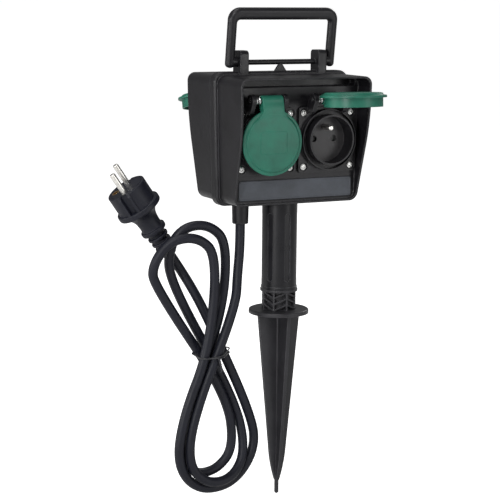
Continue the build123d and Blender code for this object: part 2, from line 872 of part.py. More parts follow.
# sockets
def socket_face(base):
    """Plate, guard ring, collar, well, insert body, guide ribs and hinge ears."""
    with BuildPart() as face:
        block(base.offset(-plate_t), plate_width, plate_width, plate_t, corner=plate_corner_r)
        round_bar(base.offset(-insert_depth), insert_outer_r, insert_depth)
        round_bar(base, collar_r, collar_height)
        ring_bar(base, guard_outer_r, guard_inner_r, guard_height)
        open_depth = insert_depth + well_back_z
        round_bar(base.offset(-insert_depth), insert_inner_r, open_depth, Mode.SUBTRACT)
        round_bar(base.offset(well_floor_z), well_r, well_depth, Mode.SUBTRACT)
        pin_places = ((-pin_offset, 0), (pin_offset, 0))
        round_bar(base.offset(well_back_z), pin_hole_r, well_floor_t, Mode.SUBTRACT, at=pin_places)
        earth_place = ((0, earth_offset),)
        earth_hole = earth_r + earth_fit
        round_bar(base.offset(well_back_z), earth_hole, well_floor_t, Mode.SUBTRACT, at=earth_place)
        round_bar(base.offset(-plate_t), plate_screw_hole_r, plate_t, Mode.SUBTRACT, at=screw_places)
        sink_plane = base.offset(-plate_screw_sink)
        round_bar(sink_plane, plate_screw_sink_r, plate_screw_sink, Mode.SUBTRACT, at=screw_places)
        guide_y = guide_inner + guide_t / 2
        guide_mid = (guide_left + guide_right) / 2
        block(
            base.offset(back_front_z),
            guide_right - guide_left,
            guide_t,
            well_back_z - back_front_z,
            at=((guide_mid, -guide_y), (guide_mid, guide_y)),
        )
        for ear_x, ear_t in ((ear_left_x, ear_left_t), (ear_right_x, ear_right_t)):
            ear_plane = across(base, ear_x)
            outline_bar(ear_plane, ear_outline, ear_t)
            round_bar(ear_plane, ear_r, ear_t, at=((axis_up, axis_out),))
            ear_hole = hinge_pin_r + hinge_pin_fit
            round_bar(ear_plane, ear_hole, ear_t, Mode.SUBTRACT, at=((axis_up, axis_out),))
    return face.part


def socket_back(base):
    """Closes the insert behind the shutter and holds the contacts."""
    with BuildPart() as back:
        round_bar(base.offset(back_rear_z), back_r, back_t)
        pocket_depth = contact_length + back_front_z - contact_front_z
        pin_places = ((-pin_offset, 0), (pin_offset, 0))
        pocket = base.offset(contact_front_z - contact_length)
        round_bar(pocket, contact_pocket_r, pocket_depth, Mode.SUBTRACT, at=pin_places)
        slot_w = tail_width + tail_slot_gap
        slot_t = tail_t + tail_slot_gap
        block(base.offset(back_rear_z), slot_w, slot_t, back_t, Mode.SUBTRACT, at=pin_places)
        earth_place = ((0, earth_offset),)
        tail_hole = earth_tail_r + earth_fit
        round_bar(base.offset(back_rear_z), tail_hole, back_t, Mode.SUBTRACT, at=earth_place)
    return back.part


def socket_contacts(base):
    """Two brass sleeves with flat tails."""
    with BuildPart() as contacts:
        places = ((-pin_offset, 0), (pin_offset, 0))
        sleeve_plane = base.offset(contact_front_z - contact_length)
        round_bar(sleeve_plane, contact_r, contact_length, at=places)
        round_bar(base.offset(contact_front_z - contact_length + tail_t), contact_bore_r,
                  contact_length - tail_t, Mode.SUBTRACT, at=places)
        tail_length = contact_front_z - contact_length - tail_end_z
        block(base.offset(tail_end_z), tail_width, tail_t, tail_length, at=places)
    return contacts.part


def earth_contact(base):
    """Earth pin with its shoulder between the well floor and the socket back."""
    with BuildPart() as pin:
        place = ((0, earth_offset),)
        round_bar(base.offset(well_back_z), earth_r, earth_tip - well_back_z, at=place)
        tip = pin.edges().filter_by(GeomType.CIRCLE).sort_by(Axis(base.origin, base.z_dir))[-1]
        fillet(tip, earth_round)
        round_bar(base.offset(back_front_z), earth_shoulder_r, well_back_z - back_front_z, at=place)
        round_bar(base.offset(tail_end_z), earth_tail_r, back_front_z - tail_end_z, at=place)
    return pin.part


def socket_shutter(base):
    """Shutter with two windows; it slides to bring them under the pin holes."""
    with BuildPart() as shutter:
        shutter_plane = base.offset(shutter_front_z - shutter_t)
        block(
            shutter_plane,
            shutter_right - shutter_left,
            2 * shutter_half,
            shutter_t,
            at=(((shutter_left + shutter_right) / 2, 0),),
        )
        windows = [(x, 0) for x in shutter_window_xs]
        round_bar(shutter_plane, shutter_window_r, shutter_t, Mode.SUBTRACT, at=windows)
    return shutter.part


def socket_lid(base):
    """Flap lid with skirt, raised middle, badge field, hinge neck and knuckle, drawn shut."""
    with BuildPart() as lid:
        round_bar(base.offset(lid_under), lid_rim_r, lid_rim_t)
        rim_top = lid_under + lid_rim_t
        round_bar(base.offset(rim_top), plateau_r, plateau_t)
        groove_plane = base.offset(rim_top - lid_groove_depth)
        ring_bar(groove_plane, lid_groove_r, plateau_r, lid_groove_depth, Mode.SUBTRACT)
        ring_bar(base.offset(skirt_low), skirt_outer_r, skirt_inner_r, lid_under - skirt_low)
        seat_r = seal_outer_r + seal_fit
        round_bar(base.offset(lid_under), seat_r, seal_seat, Mode.SUBTRACT)
        badge_plane = base.offset(rim_top + plateau_t)
        block(badge_plane, badge_width, badge_height, badge_rise, corner=badge_corner_r)
        cut_mid = lid_cut_up + lid_rim_r / 2
        block(base, 2 * lid_rim_r, lid_rim_r, 2 * lid_under, Mode.SUBTRACT, at=((0, cut_mid),))
        neck_plane = across(base, -neck_half)
        outline_bar(neck_plane, neck_outline, 2 * neck_half)
        axis_place = ((axis_up, axis_out),)
        round_bar(neck_plane, knuckle_r, 2 * neck_half, at=axis_place)
        pocket_plane = across(base, -neck_pocket_half)
        outline_bar(pocket_plane, neck_pocket_outline, 2 * neck_pocket_half, Mode.SUBTRACT)
        bore = hinge_pin_r + knuckle_clearance
        round_bar(neck_plane, bore, 2 * neck_half, Mode.SUBTRACT, at=axis_place)
    return lid.part


def lid_seal(base):
    """Rubber ring in the lid's seat."""
    with BuildPart() as seal:
        seal_low = lid_under + seal_seat - seal_t
        ring_bar(base.offset(seal_low), seal_outer_r, seal_inner_r, seal_t)
    return seal.part


def hinge_axis(base):
    """The line that a lid turns about."""
    point = base.origin + base.y_dir * axis_up + base.z_dir * axis_out
    return Axis(point, base.x_dir)


all_screws = []
all_springs = []
all_pins = []


def lid_spring(base):
    """Wound spring round the hinge pin, in half turns that each lie in one tilted plane."""
    centre = base.origin + base.y_dir * axis_up + base.z_dir * axis_out
    half_chord = hypot(spring_mean_r, spring_pitch / 4)
    points = []
    for half_turn in range(2 * spring_turns + 1):
        side = 1 if half_turn % 2 == 0 else -1
        along = spring_start_x + spring_pitch / 2 * half_turn
        points.append(centre + base.x_dir * along + base.y_dir * (side * spring_mean_r))
    with BuildPart() as spring:
        with BuildLine() as wire:
            for half_turn in range(2 * spring_turns):
                a = points[half_turn]
                b = points[half_turn + 1]
                side = 1 if half_turn % 2 == 0 else -1
                middle = (a + b) / 2 + base.z_dir * (side * half_chord)
                ThreePointArc(a, middle, b)
        start_plane = Plane(origin=points[0], x_dir=base.x_dir, z_dir=base.z_dir)
        with BuildSketch(start_plane) as section:
            Rectangle(spring_wire, spring_wire)
        sweep(section.sketch, path=wire.line)
    return spring.part


for socket_name, base in sockets.items():
    angle = -lid_angles[socket_name]
    turn_axis = hinge_axis(base)
    save(socket_face(base), "socket_" + socket_name)
    save(socket_back(base), "socket_back_" + socket_name)
    save(socket_contacts(base), "contacts_" + socket_name)
    save(earth_contact(base), "earth_pin_" + socket_name)
    save(socket_shutter(base), "shutter_" + socket_name)
    save(socket_lid(base).rotate(turn_axis, angle), "lid_" + socket_name)
    save(lid_seal(base).rotate(turn_axis, angle), "lid_seal_" + socket_name)
    all_springs.append(lid_spring(base))
    with BuildPart() as plate_screw_set:
        head_z = -plate_screw_sink
        round_bar(base.offset(head_z), plate_screw_head_r, plate_screw_head_t, at=screw_places)
        shank_plane = base.offset(-plate_screw_length)
        round_bar(shank_plane, plate_screw_r, plate_screw_length + head_z, at=screw_places)
    all_screws.append(plate_screw_set.part)
    with BuildPart() as hinge_pin:
        pin_length = ear_right_x + ear_right_t - ear_left_x
        round_bar(across(base, ear_left_x), hinge_pin_r, pin_length, at=((axis_up, axis_out),))
    all_pins.append(hinge_pin.part)


def gather(pieces, name):
    """Save several loose solids of one kind as one named piece."""
    solids = [s for piece in pieces for s in piece.solids()]
    save(Compound(children=solids), name)


gather(all_screws, "plate_screws")
gather(all_springs, "lid_springs")
gather(all_pins, "hinge_pins")

# cable gland, clamp and the cord inside it
with BuildPart() as cable_gland:
    gland_place = ((gland_x, gland_y),)
    with BuildSketch(Plane.XZ.offset(-gland_y)) as sleeve:
        with BuildLine():
            Polyline(
                (gland_x, gland_low_z),
                (gland_x + gland_low_r - gland_chamfer, gland_low_z),
                (gland_x + gland_low_r, gland_low_z + gland_chamfer),
                (gland_x + gland_top_r, case_floor_z),
                (gland_x + gland_neck_r, case_floor_z),
                (gland_x + gland_neck_r, case_inside_floor),
                (gland_x + gland_flange_r, case_inside_floor),
                (gland_x + gland_flange_r, case_inside_floor + gland_flange_t),
                (gland_x, case_inside_floor + gland_flange_t),
                close=True,
            )
        make_face()
    revolve(sleeve.sketch, axis=Axis((gland_x, gland_y, 0), (0, 0, 1)))
    bore_length = case_inside_floor + gland_flange_t - gland_low_z
    round_bar(Plane.XY.offset(gland_low_z), gland_bore_r, bore_length, Mode.SUBTRACT, at=gland_place)
save(cable_gland.part, "cable_gland")

with BuildPart() as cord_inner:
    round_bar(Plane.XY.offset(gland_low_z), cord_r, inner_cord_top_z - gland_low_z, at=gland_place)
save(cord_inner.part, "cord_inner")

with BuildPart() as cord_clamp:
    bar_plane = Plane.XZ.offset(-clamp_bar_y - clamp_bar_t)
    bar_place = ((gland_x, clamp_mid_z),)
    block(bar_plane, 2 * clamp_half, clamp_height, clamp_bar_t, at=bar_place, corner=gland_chamfer)
    round_bar(cord_bed, clamp_groove_r, clamp_height, Mode.SUBTRACT, at=gland_place)
    round_bar(bar_plane, clamp_screw_hole_r, clamp_bar_t, Mode.SUBTRACT, at=clamp_screw_places)
save(cord_clamp.part, "cord_clamp")

with BuildPart() as clamp_screws:
    head_y = clamp_bar_y + clamp_bar_t + clamp_head_t
    clamp_head_plane = Plane.XZ.offset(-head_y)
    round_bar(clamp_head_plane, clamp_head_r, clamp_head_t, at=clamp_screw_places)
    reach = head_y - saddle_top_y + clamp_screw_bite
    round_bar(clamp_head_plane, clamp_screw_r, reach, at=clamp_screw_places)
save(clamp_screws.part, "clamp_screws")


# cord routes: straight runs joined by the largest arcs that fit
def strand_point(row, steps, z):
    """A point on one of the straight strands that cross at the waist."""
    if row < front_rows:
        x = front_strand_x + steps * front_strand_step + (z - waist_z) * front_strand_slope
    else:
        slope = back_strand_slope - back_strand_fan * steps
        x = back_strand_x + steps * back_strand_step - (z - waist_z) * slope
    return Vector(x, row_ys[row], z)


def strand_meets(loop_centre, radius, angle, row, steps):
    """Where a loop's tangent at this angle meets a strand, seen from the front."""
    cx, cz = loop_centre
    tx = cx + radius * cos(radians(angle))
    tz = cz + radius * sin(radians(angle))
    ux = -sin(radians(angle))
    uz = cos(radians(angle))
    start = strand_point(row, steps, waist_z)
    slope = front_strand_slope if row < front_rows else back_strand_fan * steps - back_strand_slope
    # the tangent's x and the strand's x are equal at this length along the tangent
    a = (start.X + (tz - waist_z) * slope - tx) / (ux - uz * slope)
    return strand_point(row, steps, tz + a * uz)


def hank_route():
    """Corner points of the five loops, in and out along the strands at the waist."""
    route = []
    for cx, cz, radius, first, last, strand_in, strand_out, depths in hank_loops:
        route.append(strand_meets((cx, cz), radius, first, *strand_in))
        step = (last - first) / loop_corners
        corner_r = radius / cos(radians(step / 2))
        for k in range(loop_corners):
            at = radians(first + step * (k + 1 / 2))
            route.append(Vector(cx + corner_r * cos(at), depths[k], cz + corner_r * sin(at)))
        route.append(strand_meets((cx, cz), radius, last, *strand_out))
    return route


def corner_radii(route):
    """Radius of each corner: a set share of its shorter run, over the half turn's tangent."""
    radii = []
    for before, here, after in zip(route, route[1:], route[2:]):
        turn = (here - before).get_angle(after - here)
        shorter = min((here - before).length, (after - here).length)
        radii.append(fillet_share * shorter / tan(radians(turn / 2)))
    return radii


def cord_piece(route, name):
    """Sweep the cord along a route; prints its length, radii and volume as a check."""
    radii = corner_radii(route)
    with BuildPart() as piece:
        with BuildLine() as line:
            FilletPolyline(*route, radius=radii)
        with BuildSketch(Plane(origin=route[0], z_dir=route[1] - route[0])) as section:
            Circle(cord_r)
        sweep(section.sketch, path=line.line)
    path = line.wire()
    length = path.length
    share = piece.part.volume / (section.sketch.area * length)
    print(name, "length", round(length, 1), "radii", [round(r, 1) for r in radii])
    print(name, "volume over section times length", round(share, 4))
    save(piece.part, name)
    return path


lead_start = Vector(gland_x, gland_y, gland_low_z)
lead_join = strand_point(0, end_step, lead_join_z)
lead_end = strand_point(0, end_step, lead_split_z)
tail_start = strand_point(2, end_step, tail_split_z)
tail_join = strand_point(2, end_step, tail_join_z)
lead_drop = Vector(gland_x, gland_y, lead_drop_z)
lead_route = [lead_start, lead_drop, Vector(*lead_bend), lead_join, lead_end]
hank_points = [lead_end] + hank_route() + [tail_start]
plug_base = Vector(*plug_end)
plug_dir = (Vector(*plug_front) - plug_base).normalized()
tail_in = plug_base - plug_dir * tail_straight
tail_route = [tail_start, tail_join, Vector(*tail_bend), tail_in, plug_base]

lead_line = cord_piece(lead_route, "cord_lead")
hank_line = cord_piece(hank_points, "cord_hank")
tail_line = cord_piece(tail_route, "cord_tail")
total = lead_line.length + hank_line.length + tail_line.length
print("cord outside the case", round(total, 1))


def least_gap(line, step):
    """Least gap of a tube to itself, between points more than a few diameters apart."""
    count = int(line.length / step)
    points = [line @ (k / count) for k in range(count + 1)]
    skip = int(6 * cord_r / step)
    best = case_reach
    for i, p in enumerate(points):
        for q in points[i + skip:]:
            d = (p - q).length
            if d < best:
                best = d
                where = p
    return best - 2 * cord_r, where


gap, where = least_gap(hank_line, cord_r / 2)
print("least gap of the hank to itself", round(gap, 2), "at", where)

# tie round the waist
strands_in = [(loop[5][0], loop[5][1]) for loop in hank_loops]
tie_strands = sorted(set(strands_in + [(loop[6][0], loop[6][1]) for loop in hank_loops]))
tie_plane = Plane.XY.offset(waist_z - tie_height / 2)
tie_hulls = []
for tie_r in (cord_r + tie_slack + tie_t, cord_r + tie_slack):
    with BuildSketch(tie_plane) as hull:
        for row, steps in tie_strands:
            strand = strand_point(row, steps, waist_z)
            with Locations((strand.X, strand.Y)):
                Circle(tie_r)
        make_hull()
    tie_hulls.append(hull.sketch)
with BuildPart() as cord_tie:
    extrude(tie_hulls[0], amount=tie_height)
    extrude(tie_hulls[1], amount=tie_height, mode=Mode.SUBTRACT)
save(cord_tie.part, "cord_tie")

# plug
plug_side = Vector(0, 1, 0).cross(plug_dir).normalized()
plug_across = plug_side.rotate(Axis((0, 0, 0), plug_dir), plug_roll)
plug_plane = Plane(origin=plug_base, x_dir=plug_across, z_dir=plug_dir)
plug_length = (Vector(*plug_front) - plug_base).length

with BuildPart() as plug_body:
    profile_plane = Plane(origin=plug_base, x_dir=plug_side, z_dir=plug_side.cross(plug_dir))
    with BuildSketch(profile_plane) as half:
        with BuildLine():
            steps = [(0, 0), (plug_groove_r, 0)]
            for k in range(plug_rib_count):
                low = plug_first_rib + plug_rib_pitch * k
                steps += [(plug_groove_r, low), (plug_rib_r, low)]
                steps += [(plug_rib_r, low + plug_rib_pitch / 2), (plug_groove_r, low + plug_rib_pitch / 2)]
            steps += [(plug_groove_r, plug_ring_low), (plug_ring_r, plug_ring_low)]
            steps += [(plug_ring_r, plug_ring_low + plug_ring_t)]
            steps += [(plug_neck_r, plug_ring_low + plug_ring_t), (plug_neck_r, plug_neck_high)]
            Polyline(*steps)
            TangentArc(
                (plug_neck_r, plug_neck_high), (plug_head_r, plug_collar_low), tangent=(0, 1)
            )
            Polyline(
                (plug_head_r, plug_collar_low),
                (plug_collar_r, plug_collar_low),
                (plug_collar_r, plug_collar_low + plug_collar_t),
                (plug_head_r, plug_collar_low + plug_collar_t),
                (plug_head_r, plug_length),
                (0, plug_length),
                (0, 0),
            )
        make_face()
    revolve(half.sketch, axis=Axis(plug_base, plug_dir))
    pin_root = plug_plane.offset(plug_length - plug_pin_root)
    pin_places = ((-plug_pin_offset, 0), (plug_pin_offset, 0))
    pin_root_r = plug_pin_r + plug_root_grow
    round_bar(pin_root, pin_root_r + plug_fit, plug_pin_root, Mode.SUBTRACT, at=pin_places)
    socket_floor = plug_plane.offset(plug_length - earth_socket_depth)
    earth_place = ((0, earth_offset),)
    socket_hole_r = earth_socket_r + plug_fit
    round_bar(socket_floor, socket_hole_r, earth_socket_depth, Mode.SUBTRACT, at=earth_place)
    groove_low = plug_collar_low + plug_collar_t
    block(
        plug_plane.offset(groove_low),
        2 * plug_groove_depth,
        plug_groove_width,
        plug_length - groove_low,
        Mode.SUBTRACT,
        at=((-plug_head_r, 0), (plug_head_r, 0)),
    )
save(plug_body.part, "plug_body")

with BuildPart() as plug_pins:
    round_bar(pin_root, pin_root_r, plug_pin_root, at=pin_places)
    round_bar(plug_plane.offset(plug_length), plug_pin_r, plug_pin_length, at=pin_places)
    tips = plug_pins.edges().filter_by(GeomType.CIRCLE).group_by(Axis(plug_base, plug_dir))[-1]
    fillet(tips, earth_round)
save(plug_pins.part, "plug_pins")

with BuildPart() as plug_earth_socket:
    round_bar(socket_floor, earth_socket_r, earth_socket_depth, at=earth_place)
    bore_plane = socket_floor.offset(tail_t)
    round_bar(bore_plane, earth_socket_bore_r, earth_socket_depth - tail_t, Mode.SUBTRACT, at=earth_place)
save(plug_earth_socket.part, "plug_earth_socket")

# wires inside
for wire_name, side_share, depth_share, lane_y in wire_lanes:
    x = gland_x + side_share * wire_spread
    y = gland_y + depth_share * wire_spread
    wire_route = [
        Vector(x, y, inner_cord_top_z),
        Vector(x, y, inner_cord_top_z + wire_rise),
        Vector(x + wire_step_x, lane_y, wire_lane_z),
        Vector(wire_mid[0], lane_y, wire_mid[1]),
        Vector(wire_end[0], lane_y, wire_end[1]),
    ]
    with BuildPart() as wire_run:
        with BuildLine() as wire_line:
            FilletPolyline(*wire_route, radius=corner_radii(wire_route))
        with BuildSketch(Plane(origin=wire_route[0], z_dir=(0, 0, 1))) as wire_section:
            Circle(wire_r)
        sweep(wire_section.sketch, path=wire_line.line)
    save(wire_run.part, wire_name + "_wire")
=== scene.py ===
import json
import math

import bmesh
import bpy
from mathutils import Matrix, Vector


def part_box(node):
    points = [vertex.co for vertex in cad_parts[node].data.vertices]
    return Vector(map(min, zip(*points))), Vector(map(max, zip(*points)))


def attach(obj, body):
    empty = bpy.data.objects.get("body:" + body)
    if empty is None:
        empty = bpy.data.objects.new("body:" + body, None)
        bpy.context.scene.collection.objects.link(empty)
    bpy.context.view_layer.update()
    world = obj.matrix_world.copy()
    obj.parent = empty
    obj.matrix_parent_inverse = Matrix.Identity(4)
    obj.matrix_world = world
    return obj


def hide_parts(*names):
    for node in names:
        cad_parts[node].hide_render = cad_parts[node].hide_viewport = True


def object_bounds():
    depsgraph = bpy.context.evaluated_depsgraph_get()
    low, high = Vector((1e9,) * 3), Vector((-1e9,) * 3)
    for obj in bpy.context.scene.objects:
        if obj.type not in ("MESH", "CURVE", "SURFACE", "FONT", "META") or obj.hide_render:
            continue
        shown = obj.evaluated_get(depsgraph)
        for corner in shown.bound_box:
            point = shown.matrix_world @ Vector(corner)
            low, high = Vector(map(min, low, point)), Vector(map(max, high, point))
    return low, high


# Garden socket post. The part's sizes are in millimetres and are turned into metres by MM.
# The floor and the lamps are in metres.
MM = 0.001
CASE_MID_Y = 5.0
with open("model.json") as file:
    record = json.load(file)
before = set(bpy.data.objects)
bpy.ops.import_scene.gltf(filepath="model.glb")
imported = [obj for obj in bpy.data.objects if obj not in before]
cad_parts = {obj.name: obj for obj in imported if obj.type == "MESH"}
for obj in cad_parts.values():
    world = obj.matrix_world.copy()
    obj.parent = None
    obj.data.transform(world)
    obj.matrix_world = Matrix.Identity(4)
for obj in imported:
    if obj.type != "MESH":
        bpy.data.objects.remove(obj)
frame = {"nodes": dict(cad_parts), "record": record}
nodes = frame["nodes"]
cad_low, cad_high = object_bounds()


def add_object(name, data):
    item = bpy.data.objects.new(name, data)
    bpy.context.scene.collection.objects.link(item)
    return item


# Camera, in the photograph's place
IMAGE_SIDE = 500.0
FOCAL_PIXELS = 1610.1
SENSOR = 36.0
CAMERA_PLACE = Vector((-646.65, -1208.77, 280.38)) * MM
CAMERA_AZIMUTH = math.radians(-27.09)
CAMERA_PITCH = math.radians(9.37)
CAMERA_ROLL = math.radians(0.54)


def make_camera():
    data = bpy.data.cameras.new("photo_camera")
    data.sensor_width = SENSOR
    data.lens = FOCAL_PIXELS / IMAGE_SIDE * SENSOR
    data.clip_start = 0.05
    data.clip_end = 200.0
    camera = add_object("photo_camera", data)
    turn = Matrix.Rotation(CAMERA_AZIMUTH, 4, "Z")
    tilt = Matrix.Rotation(math.pi / 2 - CAMERA_PITCH, 4, "X")
    roll = Matrix.Rotation(CAMERA_ROLL, 4, "Z")
    camera.matrix_world = Matrix.Translation(CAMERA_PLACE) @ turn @ tilt @ roll
    bpy.context.scene.camera = camera


make_camera()


# Cord, with the route of the part's source
CORD_R = 4.15
GLAND = (-36.7, 2.5, 79.5)
LEAD_DROP_Z = 58.0
LEAD_BEND = (-40.2, 0.0, 36.0)
LEAD_JOIN_Z = 10.0
TAIL_JOIN_Z = 2.0
TAIL_BEND = (-76.2, 11.0, 22.6)
TAIL_STRAIGHT = 16.0
PLUG_END = Vector((-94.9, 18.5, 54.6))
PLUG_FRONT = Vector((-134.8, 19.6, 112.8))
PLUG_DIR = (PLUG_FRONT - PLUG_END).normalized()
WAIST_Z = -31.0
FRONT_X = -68.8
FRONT_SLOPE = 0.43
FRONT_STEP = 9.7
BACK_X = -61.6
BACK_SLOPE = 0.58
BACK_FAN = 0.2
BACK_STEP = 22.0
ROW_YS = (-9.5, -1.9, 6.9, 12.8)
FRONT_ROWS = 2
END_STEP = 0.5
LOOP_CORNERS = 4
# Centre x and z, radius, first and last angle, strand in and out, y of the corners
HANK_LOOPS = (
    (-59.6, -113.0, 29.7, 172.0, 370.0, (0, 0.5), (3, 0), (-9.5, -9.5, -5.0, 5.0)),
    (-76.3, 55.0, 25.0, 190.0, -5.0, (3, 0), (1, 0), (4.5, 4.0, 2.0, -1.9)),
    (-67.1, -109.6, 26.9, 172.0, 370.0, (1, 0), (2, -0.5), (-1.5, 2.0, 6.9, 6.9)),
    (-91.3, 45.0, 26.5, 197.0, -5.0, (2, -0.5), (0, -0.5), (-2.0, -5.5, -9.5, -9.5)),
    (-59.3, -110.7, 39.6, 172.0, 370.0, (0, -0.5), (2, 0.5), (-9.5, -1.5, 3.5, 6.9)),
)


def strand_point(row, steps, z):
    """A point on one of the straight strands that cross at the waist."""
    if row < FRONT_ROWS:
        x = FRONT_X + steps * FRONT_STEP + (z - WAIST_Z) * FRONT_SLOPE
    else:
        slope = BACK_SLOPE - BACK_FAN * steps
        x = BACK_X + steps * BACK_STEP - (z - WAIST_Z) * slope
    return Vector((x, ROW_YS[row], z))


def strand_meets(cx, cz, radius, angle, row, steps):
    """Where a loop's tangent at this angle meets a strand, seen from the front."""
    tx = cx + radius * math.cos(angle)
    tz = cz + radius * math.sin(angle)
    ux = -math.sin(angle)
    uz = math.cos(angle)
    start = strand_point(row, steps, WAIST_Z)
    slope = FRONT_SLOPE if row < FRONT_ROWS else BACK_FAN * steps - BACK_SLOPE
    a = (start.x + (tz - WAIST_Z) * slope - tx) / (ux - uz * slope)
    return strand_point(row, steps, tz + a * uz)


def cord_points():
    """The cord's route from the gland, round the hank and up to the plug."""
    points = [
        Vector(GLAND),
        Vector((GLAND[0], GLAND[1], LEAD_DROP_Z)),
        Vector(LEAD_BEND),
        strand_point(0, END_STEP, LEAD_JOIN_Z),
    ]
    for cx, cz, radius, first, last, strand_in, strand_out, depths in HANK_LOOPS:
        first = math.radians(first)
        last = math.radians(last)
        points.append(strand_meets(cx, cz, radius, first, *strand_in))
        step = (last - first) / LOOP_CORNERS
        corner_r = radius / math.cos(step / 2)
        for k in range(LOOP_CORNERS):
            at = first + step * (k + 1 / 2)
            points.append(Vector((cx + corner_r * math.cos(at), depths[k], cz + corner_r * math.sin(at))))
        points.append(strand_meets(cx, cz, radius, last, *strand_out))
    points.append(strand_point(2, END_STEP, TAIL_JOIN_Z))
    points.append(Vector(TAIL_BEND))
    points.append(PLUG_END - PLUG_DIR * TAIL_STRAIGHT)
    points.append(PLUG_END)
    return points


def tube_curve(name, radius_mm, around, along):
    """Curve data of a round tube with closed ends; around and along are its resolutions."""
    data = bpy.data.curves.new(name, "CURVE")
    data.dimensions = "3D"
    data.bevel_depth = radius_mm * MM
    data.bevel_resolution = around
    data.resolution_u = along
    data.use_fill_caps = True
    return data


def add_spline(data, places, closed=False):
    """A smooth spline led by these places, which are in metres."""
    spline = data.splines.new("NURBS")
    spline.points.add(len(places) - 1)
    for point, place in zip(spline.points, places):
        point.co = (*place, 1.0)
    spline.order_u = 3
    spline.use_cyclic_u = closed
    spline.use_endpoint_u = not closed


def make_cord():
    data = tube_curve("mains_cord", CORD_R, around=6, along=14)
    add_spline(data, [point * MM for point in cord_points()])
    return add_object("mains_cord", data)


# Materials
# Noise seldom goes past these values, so they are taken as its ends
NOISE_CORE = (0.3, 0.7)
CLOUD_CORE = (0.35, 0.65)
# Where the rounded and the flat normal agree no better than this, an edge counts in full
FULL_EDGE_DOT = 0.85
CLOUD_MM = 22.0
CLOUD_TONES = (0.82, 1.16)
CLOUD_ROUGH = (-0.06, 0.07)
GRAIN_ROUGH = 0.04
# Size and share of the patches of the painted edge highlight
HIGHLIGHT_PATCH_MM = 5.0
HIGHLIGHT_PATCH_SHARES = (0.25, 0.8)
PLASTIC_IOR = 1.4
PLATING_MM = 3.0
PLATING_TONES = (0.72, 1.15)
PLATING_ROUGH = (-0.07, 0.1)
BRUSH_STRETCH = (1.0, 1.0, 6.0)
BRUSH_DEPTH_MM = 0.02
# Distances from the case's middle plane where the painted sheen on the wells' floors starts and is full
WELL_FLOOR_REACH = (28.8, 28.5)


class Paint:
    """A material and the few calls that its nodes are made with."""

    def __init__(self, name):
        self.material = bpy.data.materials.new(name)
        self.material.use_nodes = True
        self.tree = self.material.node_tree
        self.shader = self.tree.nodes["Principled BSDF"]
        self.place = self.add("ShaderNodeTexCoord").outputs["Object"]

    def add(self, kind, **settings):
        node = self.tree.nodes.new(kind)
        for key, value in settings.items():
            setattr(node, key, value)
        return node

    def link(self, source, target):
        self.tree.links.new(source, target)

    def noise(self, size_mm, detail=3.0, rough=0.55, stretch=(1.0, 1.0, 1.0), seed=0.0):
        """Noise with features of about this size, from 0 to 1."""
        mapping = self.add("ShaderNodeMapping")
        mapping.inputs["Scale"].default_value = stretch
        mapping.inputs["Location"].default_value = (seed, seed, seed)
        self.link(self.place, mapping.inputs["Vector"])
        node = self.add("ShaderNodeTexNoise")
        node.inputs["Scale"].default_value = 1.0 / (size_mm * MM)
        node.inputs["Detail"].default_value = detail
        node.inputs["Roughness"].default_value = rough
        self.link(mapping.outputs["Vector"], node.inputs["Vector"])
        return node.outputs["Fac"]

    def remap(self, source, low, high, new_low=0.0, new_high=1.0):
        node = self.add("ShaderNodeMapRange")
        node.inputs["From Min"].default_value = low
        node.inputs["From Max"].default_value = high
        node.inputs["To Min"].default_value = new_low
        node.inputs["To Max"].default_value = new_high
        self.link(source, node.inputs["Value"])
        return node.outputs["Result"]

    def blend(self, factor, first, second):
        """A colour between two colours or sockets."""
        node = self.add("ShaderNodeMix", data_type="RGBA")
        self.link(factor, node.inputs["Factor"])
        sockets = [s for s in node.inputs if s.type == "RGBA"]
        for socket, value in zip(sockets, (first, second)):
            if isinstance(value, tuple):
                socket.default_value = (*value, 1.0)
            else:
                self.link(value, socket)
        return [s for s in node.outputs if s.type == "RGBA"][0]

    def math(self, operation, first, second):
        node = self.add("ShaderNodeMath", operation=operation)
        for socket, value in zip(node.inputs, (first, second)):
            if isinstance(value, float):
                socket.default_value = value
            else:
                self.link(value, socket)
        return node.outputs["Value"]

    def rounded(self, radius_mm):
        """A normal that rounds sharp edges, and a mask of where those edges are."""
        bevel = self.add("ShaderNodeBevel", samples=6)
        bevel.inputs["Radius"].default_value = radius_mm * MM
        flat = self.add("ShaderNodeNewGeometry")
        dot = self.add("ShaderNodeVectorMath", operation="DOT_PRODUCT")
        self.link(bevel.outputs["Normal"], dot.inputs[0])
        self.link(flat.outputs["Normal"], dot.inputs[1])
        edge = self.remap(dot.outputs["Value"], 1.0, FULL_EDGE_DOT)
        return bevel.outputs["Normal"], edge

    def bump(self, height, depth_mm, strength=1.0, normal=None):
        node = self.add("ShaderNodeBump")
        node.inputs["Distance"].default_value = depth_mm * MM
        node.inputs["Strength"].default_value = strength
        self.link(height, node.inputs["Height"])
        if normal is not None:
            self.link(normal, node.inputs["Normal"])
        return node.outputs["Normal"]


